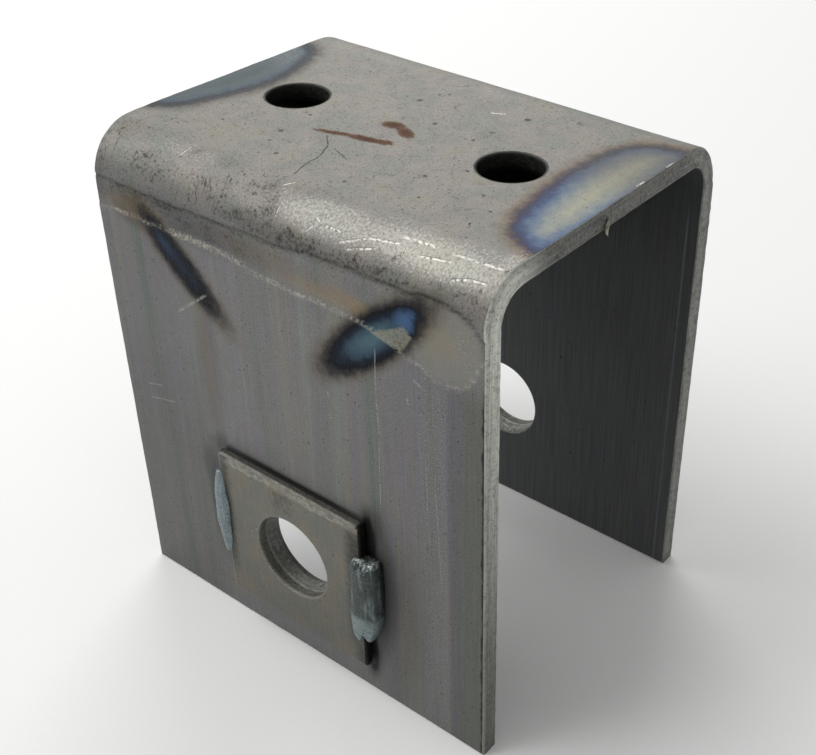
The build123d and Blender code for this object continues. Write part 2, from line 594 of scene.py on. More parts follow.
@dataclass(frozen=True)
class RolledSkin:
    """The rolled skins of the channel: streaks along the strip, mill grime, painted shadows beside the near
    bore plate, a painted highlight along the near bend, painted shade on the inner skin, heat tints and
    scratches.

    Attributes:
        web: the display colour between the bends.
        leg: the display colour of the legs.
        inside: how light the inner skin is beside the outer one, at the web and at the feet: painted shade,
            darkest under the web.
        web_light, leg_light: how much light the web and the legs get.
        relief: how high the grain stands, in metres.
    """

    web: tuple[float, float, float] = (136, 135, 129)
    leg: tuple[float, float, float] = (120, 121, 118)
    inside: tuple[float, float] = (0.34, 0.56)
    web_light: float = 1.5
    leg_light: float = 0.8
    relief: float = 0.00012

    # Scratches as start, end and half width, on the flat pattern; the last two, on the web's right edge, are
    # painted glints
    BRIGHT = (
        (0.3, -33.6, 0.2, -31.8, 0.22), (8.2, -31.4, 10.3, -32.2, 0.2), (10.1, -32.2, 15, -32.1, 0.3),
        (14.6, -33.7, 20, -31.6, 0.3), (19.6, -31.6, 26.6, -30.6, 0.3), (-2.2, -28.9, -0.6, -27.5, 0.2),
        (7.5, -33.8, 8.7, -32.6, 0.2), (16.5, -34.1, 22.6, -32.4, 0.25),
        (37.6, -32.7, 41.3, -31.7, 0.3), (41.3, -31.7, 44.6, -31.5, 0.25),
        (7.2, 16.7, 10.2, 18.2, 0.35), (-26.5, -30.5, -25.6, -27.5, 0.2), (25, -29.6, 33, -29.2, 0.35),
        (30, -31.4, 37, -30.4, 0.3), (35, -29.3, 46, -28.8, 0.3), (46.5, 16.8, 46.6, 19.6, 0.4),
        (46.3, 7.0, 46.5, 9.8, 0.4),
    )
    FAINT = (
        (23.4, -48.6, 23.1, -59.3, 0.22), (23.1, -59.0, 23.5, -67.8, 0.25),
        (23.4, -67.5, 22.9, -85.1, 0.2), (-27.8, -61.6, -17.9, -53.9, 0.4),
        (-41.4, -83.9, -35.6, -82.3, 0.2), (-40.7, -87.1, -32.2, -85.0, 0.2),
        (31.6, -52.0, 33.6, -52.9, 0.4), (30.1, -56.3, 30.6, -57.6, 0.4),
        (11.5, -63.0, 11.8, -64.4, 0.35), (11.7, -68.0, 11.9, -69.0, 0.3),
        (36.0, -72.0, 37.2, -98.0, 0.14), (33.9, -66.0, 34.4, -88.0, 0.12),
    )
    CRACKS = (
        (-10.0, -10.4, -6.6, -13.4, 0.14), (-6.8, -13.2, -4.5, -17.9, 0.16),
        (-4.6, -17.7, -4.2, -21.9, 0.15), (-4.2, -21.8, -2.9, -26.2, 0.14),
        (-5.3, -13.7, 0.4, -16.0, 0.13),
    )
    SPOTS = (
        (-17.9, -14.3, 0.6), (-18.9, -5.4, 0.5), (-16.4, -18.5, 0.45), (-7.2, 13.1, 0.7),
        (2.4, 6.3, 0.6), (15.1, 18.5, 0.8), (-6.0, 17.8, 0.5), (-4.5, 19.0, 0.4), (13.2, 9.5, 0.55),
        (12.7, 4.7, 0.5), (15.4, -12.4, 0.5), (19.7, -19.3, 0.5), (19.8, -6.2, 0.5),
        (27.8, -11.8, 0.35), (32.4, -16.1, 0.4), (44.1, -4.8, 0.4), (42.1, -2.4, 0.35),
        (46.2, -29.1, 0.5), (26.5, -32.9, 0.5), (27.3, -31.9, 0.4), (-41.0, 12.0, 0.5),
        (-11.5, -21.8, 0.5), (5.8, -22.5, 0.45), (32.3, -21.5, 0.4), (23.5, 23.4, 0.5),
        (-30.0, -17.4, 0.45),
    )

    # The colours of its marks
    GRIME = tone(48, 46, 40)
    # The next colour, near black, paints the shadows beside the bore plate on the near leg
    NEAR_BLACK = tone(16, 16, 17)
    SPECK = tone(48, 44, 40)
    # The web's rubbed colour and the worn colour also paint a highlight along the near bend
    RUB_AND_HIGHLIGHT_WEB = tone(188, 186, 180)
    RUBBED_LEG = tone(146, 146, 136)
    WARM_WEB = tone(126, 100, 70)
    WARM_LEG = tone(146, 124, 84)
    WORN_AND_HIGHLIGHT = tone(190, 188, 172)
    RUST_CREVICE = tone(52, 36, 28)
    FRETTED = tone(160, 160, 158)
    CREASE_DARK = tone(52, 50, 44)
    RIDGE_STEEL = tone(190, 188, 178)
    BRIGHT_LINE = tone(238, 236, 226)
    FAINT_LINE = tone(178, 180, 176)
    INNER_SCALE = tone(108, 120, 122)
    INNER_LINE = tone(120, 122, 120)
    INNER_SPECK = tone(26, 24, 22)

    def _drawn(self, g: Graph, x: Feed, s: Feed, strokes: Sequence[tuple[float, ...]]) -> Socket:
        """1 on any of the strokes."""
        return g.any(*(g.scratch(x, s, row[:2], row[2:4], row[4]) for row in strokes))

    def _heat(self, g: Graph, sheet: Feed, colour: Feed) -> tuple[Socket, Socket]:
        """Lays the temper colours of the hidden welds over a colour.

        Args:
            g: the material's graph.
            sheet: the place on the flat pattern.
            colour: the skin's own colour.

        Returns:
            The tinted colour, and how much the legs are burnt.
        """
        right, left, scorch = g.split(g.vector("tints"))
        blue, silver, tongue = g.split(g.vector("patches"))
        _, s, _ = g.split(sheet)
        ragged = g.sway(g.noise(sheet, 0.5, 4, 0.6))
        fine = g.sway(g.noise(sheet, 3.0, 3, 0.7))
        web, leg = self.web_light, self.leg_light
        value = g.add(right, g.times(ragged, 3.4), g.times(fine, 1.0))
        far, _ = g.ramp(value, -4, 12,
                        [(-3.4, 150, 142, 124, 1), (-1.5, 140, 118, 92, 1), (-0.4, 96, 82, 78, 1),
                         (0.8, 80, 80, 94, 1), (2.2, 108, 116, 130, 1), (4.4, 134, 138, 136, 1),
                         (7.0, 168, 166, 148, 1), (9.5, 182, 180, 160, 1)], web)
        tint, cover = g.ramp(value, -4, 12,
                             [(-3.4, 150, 142, 124, 0), (-1.5, 144, 122, 96, 0.5), (-0.4, 96, 78, 78, 0.8),
                              (0.6, 64, 64, 92, 0.94), (1.7, 68, 86, 130, 0.94), (3.2, 108, 134, 166, 0.9),
                              (5.2, 168, 176, 174, 0.9), (8.0, 200, 198, 174, 0.9)], web)
        tint = g.mix(g.step(s, -6, 12), tint, far)
        hatch = g.noise(g.stretched(sheet, 2.4, 0.7, 1.0), 1.0, 4, 0.75, 1.2)
        tint = g.mix(g.times(g.step(hatch, 0.54, 0.66), 0.5), tint, lit(96, 98, 92, web))
        colour = g.mix(cover, colour, tint)
        value = g.add(left, g.times(ragged, 2.8), g.times(fine, 0.8))
        tint, cover = g.ramp(value, -4, 12,
                             [(-3.6, 140, 134, 120, 0), (-1.8, 112, 108, 98, 0.5),
                              (-0.4, 70, 70, 72, 0.88), (0.9, 56, 66, 78, 0.95), (2.4, 88, 106, 118, 0.92),
                              (4.4, 98, 112, 115, 0.92), (6.5, 86, 101, 105, 0.92), (9, 74, 92, 100, 0.92)],
                              web)
        colour = g.mix(cover, colour, tint)
        colour = g.mix(g.times(g.step(left, 1.2, 3.0), g.step(s, 4, 15), g.step(hatch, 0.42, 0.6), 0.55),
                       colour, lit(160, 168, 168, web))
        shine = g.step(g.add(tongue, g.times(ragged, 1.0)), -0.4, 0.8)
        colour = g.mix(g.times(shine, 0.5), colour, lit(128, 128, 118, leg))
        value = g.add(scorch, g.times(ragged, 0.38), g.times(fine, 0.14))
        tint, cover = g.ramp(value, -0.7, 1,
                             [(-0.62, 104, 98, 86, 0), (-0.32, 84, 76, 62, 0.45),
                              (-0.10, 42, 38, 38, 0.86), (0.08, 10, 12, 18, 1), (0.30, 22, 32, 46, 1),
                              (0.55, 54, 76, 88, 1), (0.85, 70, 94, 104, 1)], leg)
        inside = g.step(value, 0.02, 0.3)
        tint = g.mix(g.times(inside, g.step(blue, 0.0, 0.8), 0.68), tint, lit(74, 104, 142, leg))
        colour = g.mix(cover, colour, tint)
        bare = g.step(g.add(silver, g.times(ragged, 0.8), g.times(fine, 0.6)), -0.25, 0.35)
        bare = g.times(bare, g.step(g.noise(sheet, 1.6, 4, 0.7), 0.34, 0.56, 0.35, 0.88))
        return g.mix(bare, colour, lit(122, 122, 108, leg)), g.times(cover, g.rest(bare))

    def build(self) -> Material:
        """Makes the material.

        Returns:
            The material.
        """
        g = Graph("rolled_skin")
        sheet = g.vector("sheet")
        x, s, d = g.split(sheet)
        run = g.size(s)
        leg = g.step(run, 33, 39)
        dark, pale, warm = g.split(g.vector("stains_and_painted_light"))
        crease, ridge, rust = g.split(g.vector("marks"))
        ragged = g.warped(sheet, 0.9, 0.5)

        grain = g.noise(sheet, 3.2, 4, 0.7)
        pepper = g.noise(sheet, 1.5, 5, 0.72)
        cloud = g.noise(sheet, 0.12, 3, 0.55, 0.6)
        patch = g.noise(sheet, 0.35, 4, 0.62)
        streak = g.noise(g.stretched(sheet, 2.6, 0.05, 1.0), 1.0, 3, 0.6)
        band = g.noise(g.stretched(sheet, 0.22, 0.006, 1.0), 1.0, 3, 0.6)

        web_colour, _ = g.ramp(cloud, 0.3, 0.7, [
            (0.34, 135, 138, 130, 1), (0.45, *self.web, 1), (0.55, 144, 139, 134, 1),
            (0.66, 142, 140, 129, 1)])
        leg_colour, _ = g.ramp(band, 0.3, 0.7, [
            (0.33, 113, 119, 114, 1), (0.43, *self.leg, 1), (0.52, 119, 117, 121, 1),
            (0.60, 122, 120, 113, 1), (0.68, 117, 122, 121, 1)])
        colour = g.mix(leg, web_colour, leg_colour)
        light = g.add(
            g.step(grain, 0.3, 0.7, 0.74, 1.24),
            g.sway(pepper, 0.55),
            g.sway(streak, g.step(run, 30, 38, 0.12, 0.42)),
            g.sway(patch, g.step(run, 30, 38, 0.34, 0.22)),
            g.sway(band, leg, 0.5),
        )
        colour = g.shaded(colour, light)

        # Grime: soft dark patches, then black pepper where they and the noise agree; some dark patches are
        # painted shadows, and the strongest of these, beside the plate, go near black
        dirt = g.add(g.times(dark, 0.75), g.sway(pepper, 3.0), g.sway(patch, 2.2), g.sway(grain, 1.4))
        soot = g.times(g.step(dirt, 0.3, 1.05), g.step(dark, 0.02, 0.3), g.step(run, 46, 38))
        colour = g.shaded(colour, g.rest(g.times(dark, g.step(run, 33, 40, 0.12, 0.62))))
        colour = g.mix(g.times(soot, 0.72), colour, self.GRIME)
        # Painted shadow: the strongest dark ovals, beside the bore plate, go near black
        colour = g.mix(g.times(g.step(dark, 1.0, 1.35), 0.9), colour, self.NEAR_BLACK)
        strays = g.times(g.specks(ragged, 0.55, 0.2, 0.16), g.step(patch, 0.42, 0.58))
        flecks = g.any(g.times(g.specks(sheet, 0.95, 0.26, 0.22), g.step(patch, 0.36, 0.56)),
                       g.times(g.step(pepper, 0.55, 0.66), g.step(run, 60, 30, 0.3, 0.9)))
        wander = g.noise(sheet, 0.22, 3, 0.5, 0.8)
        hair = g.times(g.step(g.size(g.sway(wander)), 0.010, 0.002), g.step(pepper, 0.4, 0.56),
                       g.step(run, 44, 36))
        spots = g.any(*(g.spot(ragged, (u, v), size) for u, v, size in self.SPOTS))
        cracks = self._drawn(g, *g.split(g.warped(sheet, 0.8, 0.35))[:2], self.CRACKS)
        outer = g.step(d, 1.6, 0.6)
        black = g.times(g.any(g.times(spots, 0.75), g.times(strays, 0.65), g.times(flecks, 0.68),
                              g.times(cracks, 0.75), g.times(hair, 0.6)), outer)
        colour = g.mix(black, colour, self.SPECK)

        # Rubbed places, and a painted highlight along the near bend
        glint = g.noise(sheet, 2.4, 3, 0.7)
        rub_and_highlight = g.add(g.times(pale, 0.9), g.sway(pepper, 2.2), g.sway(glint, 2.6))
        rub_and_highlight = g.times(g.step(rub_and_highlight, 0.1, 1.3), g.step(pale, 0.02, 0.35))
        colour = g.mix(g.times(rub_and_highlight, 0.88), colour, g.mix(leg, self.RUB_AND_HIGHLIGHT_WEB, self.RUBBED_LEG))
        colour = g.mix(g.times(warm, g.step(pepper, 0.3, 0.65, 0.45, 0.85)), colour,
                       g.mix(leg, self.WARM_WEB, self.WARM_LEG))
        colour, burnt = self._heat(g, sheet, colour)
        worn_and_highlight = g.times(g.step(rub_and_highlight, 0.45, 0.95), 0.5)
        colour = g.mix(worn_and_highlight, colour, self.WORN_AND_HIGHLIGHT)

        # Rust on the web
        hatch = g.noise(g.stretched(sheet, 0.5, 2.6, 1.0), 1.0, 4, 0.7)
        scale = g.add(rust, g.sway(g.noise(g.stretched(sheet, 0.5, 1.4, 1.0), 1.4, 5, 0.75), 1.3), 0.1)
        rusty = g.step(scale, 0.05, 0.4)
        rust_colour, _ = g.ramp(scale, 0, 1.2,
                                [(0.05, 156, 136, 116, 1), (0.35, 146, 110, 86, 1), (0.7, 124, 84, 64, 1),
                                 (1.1, 88, 60, 48, 1)], self.web_light)
        rust_colour = g.mix(g.times(g.step(hatch, 0.52, 0.6), 0.6), rust_colour, self.RUST_CREVICE)
        colour = g.mix(g.times(rusty, 0.92), colour, rust_colour)

        # The strips along the leg's right edge, the die's crease and ridge, and scratches
        side = g.times(x, g.math("SIGN", g.times(s, -1.0)))
        dim, _ = g.ramp(g.add(side, g.sway(patch, 1.6)), 30, 48, [
            (30.5, 255, 255, 255, 1), (32.6, 250, 250, 252, 1), (38.4, 250, 250, 252, 1),
            (39.6, 230, 230, 234, 1), (42.2, 236, 236, 234, 1), (43.4, 226, 230, 218, 1),
            (46.0, 222, 226, 214, 1), (46.4, 90, 88, 84, 1), (47.2, 60, 58, 56, 1)])
        low = g.step(run, 46, 54)
        fretted = g.times(g.step(side, 31.5, 33), g.step(side, 39.2, 38.2), low, g.step(glint, 0.5, 0.66),
                          outer)
        colour = g.mix(g.times(fretted, 0.5), colour, self.FRETTED)
        colour = g.mix(g.times(low, outer), colour, g.mix(1.0, colour, dim, "MULTIPLY"))
        # The die's crease is painted darker, in specks
        colour = g.mix(g.times(crease, g.step(pepper, 0.25, 0.52), 0.85), colour, self.CREASE_DARK)
        colour = g.mix(g.times(ridge, g.step(pepper, 0.4, 0.62), 0.8), colour, self.RIDGE_STEEL)
        bright = g.times(self._drawn(g, x, s, self.BRIGHT), g.step(pepper, 0.36, 0.5))
        colour = g.mix(g.times(bright, outer, 0.95), colour, self.BRIGHT_LINE)
        faint = g.times(self._drawn(g, x, s, self.FAINT), g.step(pepper, 0.38, 0.56))
        colour = g.mix(g.times(faint, outer, 0.6), colour, self.FAINT_LINE)

        # The inner skin: a scale colour, darkened as painted shade, most under the web
        inner = g.step(d, 2.2, 3.4)
        inner_shade_and_streaks = g.times(g.step(run, 20, 132, *self.inside), g.step(streak, 0.3, 0.7, 0.85, 1.2))
        line = g.times(g.step(g.size(g.minus(x, 44.2)), 0.35, 0.1), g.step(run, 40, 50))
        inner_colour = g.mix(g.times(line, 0.5),
                             g.shaded(g.mix(0.35, leg_colour, self.INNER_SCALE), inner_shade_and_streaks),
                             self.INNER_LINE)
        inner_colour = g.mix(g.times(strays, 0.7), inner_colour, self.INNER_SPECK)
        colour = g.mix(inner, colour, inner_colour)

        height = g.add(grain, g.times(streak, leg, 0.8), g.times(bright, -1.5), g.times(faint, -0.8),
                       g.times(spots, -1.0), g.times(cracks, -1.5), g.times(rusty, 0.7))
        rough = g.add(0.40, g.times(pepper, 0.22), g.times(rusty, 0.25), g.times(soot, 0.15),
                      g.times(inner, 0.1))
        return g.metal(colour, rough, g.bump(height, self.relief), g.add(METAL, g.times(burnt, 1 - METAL)))


@dataclass(frozen=True)
class CutSteel:
    """Sheared edges and punched walls: brighter, with fine marks across the sheet.

    Attributes:
        name: the material's name.
        face: its main colour.
        end_light: how light the near leg's end is beside the rest, at its top and at its foot: painted
            light, lighter at the top where the light falls.
        punched: how much darker the walls of the web's holes are, as painted shade.
        burnt: how much darker the side under a heavy bead is: painted shade, with some weld scorch.
    """

    name: str = "cut_steel"
    face: tuple[float, float, float] = tone(130, 131, 125)
    end_light: tuple[float, float] = (2.75, 0.9)
    punched: float = 0.8
    burnt: float = 0.0

    # The colours of its marks
    ROLLED = tone(190, 190, 180)
    SPECK = tone(46, 44, 40)

    def build(self) -> Material:
        """Makes the material.

        Returns:
            The material.
        """
        g = Graph(self.name)
        sheet = g.vector("sheet")
        x, s, d = g.split(sheet)
        run = g.size(s)
        grain, pepper = g.noise(sheet, 2.6, 4, 0.75), g.noise(sheet, 1.1, 4, 0.7)
        marks = g.noise(g.stretched(sheet, 3.0, 3.0, 0.3), 1.0, 3, 0.6)
        near = g.times(g.step(s, -18, -30), g.step(g.size(x), 40, 45))
        web = g.times(g.step(run, 30, 22), g.step(g.size(x), 40, 45))
        # Painted light: the near leg's end faces are made lighter towards their top, where the light falls;
        # the web's end faces are made darker
        light = g.add(g.times(near, g.minus(g.step(run, 34, 126, *self.end_light), 1.0)), g.times(web, -0.35),
                      g.step(grain, 0.3, 0.7, 0.72, 1.28), g.sway(marks, 0.7))
        # Painted shade: the walls of the web's holes are darkened
        punched = g.times(g.step(run, 12, 9), g.step(g.size(x), 40, 36), self.punched)
        # Painted shade, with some weld scorch: the side under the heavy bead goes almost black
        burnt = g.times(g.step(x, 17.6, 18.3), self.burnt)
        light = g.times(light, g.rest(g.any(punched, burnt)))
        lines = g.noise(g.stretched(sheet, 1.0, 0.06, 2.4), 1.0, 3, 0.6)
        light = g.times(light, g.step(lines, 0.34, 0.66, 0.78, 1.2), g.step(d, 2.2, 0.6, 1.0, 0.84))
        colour = g.shaded(self.face, light)
        rolled = g.times(g.step(d, 0.9, 0.2), g.rest(g.any(punched, burnt)), g.step(pepper, 0.3, 0.55))
        colour = g.mix(g.times(rolled, 0.35), colour, self.ROLLED)
        pits = g.times(g.step(pepper, 0.52, 0.66), 0.5)
        colour = g.mix(pits, colour, g.shaded(colour, 0.45))
        flecks = g.specks(sheet, 1.6, 0.3, 0.16)
        colour = g.mix(g.times(flecks, 0.6), colour, self.SPECK)
        height = g.add(grain, g.times(marks, 0.7), g.times(pits, -1.2))
        return g.metal(colour, g.step(pepper, 0.3, 0.7, 0.36, 0.58), g.bump(height, FINE_BUMP), METAL)


@dataclass(frozen=True)
class PlateSkin:
    """Flat bar: warm grey, lighter where its top edge is rolled, sooty beside its heavy bead.

    Attributes:
        name: the material's name.
        face: its main display colour.
        welded: whether it has the heavy bead's soot.
    """

    name: str = "plate_skin"
    face: tuple[float, float, float] = (115, 114, 106)
    welded: bool = True

    # The colours of its marks
    LIP = tone(176, 174, 162)
    LIP_EDGE = tone(72, 70, 64)
    SMUDGE = tone(62, 60, 54)
    NEAR_BLACK = tone(34, 34, 34)
    RIM_GLINT = tone(200, 198, 186)
    SPECK = tone(44, 42, 38)

    def build(self) -> Material:
        """Makes the material.

        Returns:
            The material.
        """
        g = Graph(self.name)
        sheet = g.vector("sheet")
        _, v, _ = g.split(sheet)
        grain, pepper = g.noise(sheet, 2.8, 4, 0.72), g.noise(sheet, 0.9, 5, 0.7)
        streak = g.noise(g.stretched(sheet, 2.2, 0.10, 1.0), 1.0, 3, 0.6)
        cloud = g.noise(sheet, 0.16, 3, 0.55)
        colour, _ = g.ramp(cloud, 0.3, 0.7,
                           [(0.36, 110, 112, 106, 1), (0.5, *self.face, 1), (0.62, 121, 116, 103, 1)])
        light = g.add(g.step(grain, 0.3, 0.7, 0.82, 1.18), g.sway(streak, 0.5), g.sway(pepper, 0.5))
        if self.welded:
            light = g.add(light, g.step(v, 12, 34, -0.10, 0.04))
        colour = g.shaded(colour, light)
        if self.welded:
            ragged = g.warped(sheet, 0.8, 0.9)
            ru, rv, _ = g.split(ragged)
            band = g.times(g.step(rv, 42.6, 43.1), g.step(rv, 44.9, 44.1))
            lip = g.times(g.step(rv, 44.25, 44.6), 0.6)
            colour = g.mix(g.times(band, g.step(pepper, 0.35, 0.6), 0.55), colour, self.LIP)
            colour = g.mix(lip, colour, self.LIP_EDGE)
            smudge = g.times(g.spot(ragged, (-1.5, 40.6), 4.2), g.step(pepper, 0.36, 0.6))
            colour = g.mix(g.times(smudge, 0.5), colour, self.SMUDGE)
            beside = g.times(g.step(ru, 14.0, 17.2), g.times(g.step(rv, 11, 17), g.step(rv, 46, 40)))
            foot = g.times(g.step(ru, 15, 18.5), g.step(rv, 18, 12))
            slim = g.times(g.step(ru, -15.6, -17.4), g.step(rv, 12, 18))
            soot = g.any(g.times(beside, 0.8), g.times(foot, 0.6), g.times(slim, 0.6))
            colour = g.mix(g.times(soot, g.step(pepper, 0.25, 0.55, 0.5, 1.0)), colour, self.NEAR_BLACK)
            rim = g.times(g.spot(ragged, (-9.2, 27.4), 2.6), g.specks(sheet, 1.3, 0.34, 0.5))
            colour = g.mix(g.times(rim, 0.8), colour, self.RIM_GLINT)
        black = g.times(g.specks(g.warped(sheet, 0.9, 0.4), 0.6, 0.2, 0.22 if self.welded else 0.08), 0.6)
        colour = g.mix(black, colour, self.SPECK)
        height = g.add(grain, g.times(streak, 0.5), g.times(pepper, 0.8))
        return g.metal(colour, g.step(pepper, 0.3, 0.7, 0.42, 0.6), g.bump(height, FINE_BUMP), METAL)


@dataclass(frozen=True)
class BeadMetal:
    """Weld metal, drawn along the bead, with a glassy skin.

    Attributes:
        name: the material's name.
        face: its main colour.
        pale: the colour of its streaks and of its ends.
        low, high: the heights at which a paler foot ends and a glassy top, painted light as a highlight,
            begins, in millimetres.
        relief: how high its grain stands, in metres.
        metallic: how much of it shines as bare metal.
    """

    name: str
    face: tuple[float, float, float]
    pale: tuple[float, float, float]
    low: float = -500.0
    high: float = 500.0
    relief: float = 0.00018
    metallic: float = 0.6

    # The colours of its glassy top, a painted highlight, and of its pits
    GLASS = tone(205, 212, 208)
    PIT = tone(40, 40, 38)

    def build(self) -> Material:
        """Makes the material.

        Returns:
            The material.
        """
        g = Graph(self.name)
        place = g.vector("sheet")
        _, height, _ = g.split(place)
        grain, pepper = g.noise(place, 2.2, 4, 0.7), g.noise(place, 0.8, 4, 0.65)
        streak = g.noise(g.stretched(place, 1.6, 0.16, 1.2), 1.0, 3, 0.6)
        ripple = g.noise(g.stretched(place, 0.25, 1.5, 0.25), 1.0, 3, 0.6)
        colour = g.shaded(self.face, g.add(g.step(grain, 0.3, 0.7, 0.72, 1.25), g.sway(pepper, 0.8)))
        colour = g.mix(g.times(g.step(streak, 0.5, 0.66), 0.55), colour, self.pale)
        level = g.add(height, g.sway(pepper, 3.0))
        foot = g.step(level, self.low + 1.5, self.low - 1.5)
        # A painted highlight: the bead's top is painted glassy light
        top = g.times(g.step(level, self.high - 0.4, self.high + 0.6), g.step(grain, 0.4, 0.6))
        colour = g.mix(g.times(foot, g.step(ripple, 0.35, 0.6, 0.6, 1.0)), colour, self.pale)
        colour = g.mix(g.times(top, 0.8), colour, self.GLASS)
        pits = g.times(g.specks(place, 0.9, 0.28, 0.2), 0.6)
        colour = g.mix(pits, colour, self.PIT)
        relief = g.add(g.times(grain, 0.6), ripple, g.times(streak, 0.6), g.times(pits, -1.0))
        return g.metal(colour, g.step(pepper, 0.3, 0.7, 0.24, 0.46), g.bump(relief, self.relief),
                       self.metallic)


# Sheet parts ---------------------------------------------------------------------------------------------


@dataclass(frozen=True)
class Rim:
    """The section of a cut edge, ring by ring from the outer skin to the inner one.

    Attributes:
        outset: how far each ring lies outside the last line of the skins.
        depth: how deep it lies below the outer skin.
        rough: how far a ring between the skins may fall short of its place.
    """

    outset: tuple[float, ...]
    depth: tuple[float, ...]
    rough: float = 0.0

    @staticmethod
    def sheared(thickness: float, radius: float, rough: float) -> "Rim":
        """An edge that is rounded by the same radius on both sides.

        Args:
            thickness: the sheet's thickness.
            radius: the rounding's radius.
            rough: how uneven the wall is.

        Returns:
            The section.
        """
        arc = [math.radians(a) for a in (22.5, 45, 67.5, 90)]
        out = [radius * math.sin(a) for a in arc]
        down = [radius * (1 - math.cos(a)) for a in arc]
        wall = [0.32 * thickness, 0.5 * thickness, 0.68 * thickness]
        outset = [0.0, *out, *[radius] * len(wall), *reversed(out), 0.0]
        depth = [0.0, *down, *wall, *(thickness - z for z in reversed(down)), thickness]
        return Rim(tuple(outset), tuple(depth), rough)

    @staticmethod
    def punched(thickness: float, margin: float, roll: float, widening: float, breakout: float) -> "Rim":
        """A hole's wall: rolled in at the outer skin, straight, then broken out wider at the inner one.

        Args:
            thickness: the sheet's thickness.
            margin: how far from the wall the skins end.
            roll: how far the outer edge is rolled in.
            widening: how much wider it breaks out.
            breakout: how deep the breakout is.

        Returns:
            The section.
        """
        arc = [math.radians(a) for a in (22.5, 45, 67.5, 90)]
        out = [margin - roll + roll * math.sin(a) for a in arc]
        down = [roll * (1 - math.cos(a)) for a in arc]
        straight = thickness - breakout
        outset = [0.0, margin - roll, *out, margin, margin, margin - 0.15 * widening, margin - widening, 0.0]
        depth = [0.0, 0.0, *down, 0.55 * straight, straight, straight + 0.1, thickness, thickness]
        return Rim(tuple(outset), tuple(depth))


@dataclass(frozen=True)
class Hole:
    """A round hole in a flat pattern, in a square block of its own.

    Attributes:
        u, v: its centre.
        radius: its radius.
        half: half the side of the block that holds it.
        rim: the section of its wall.
        margin: how far from its wall the skins end.
    """

    u: float
    v: float
    radius: float
    half: float
    rim: Rim
    margin: float


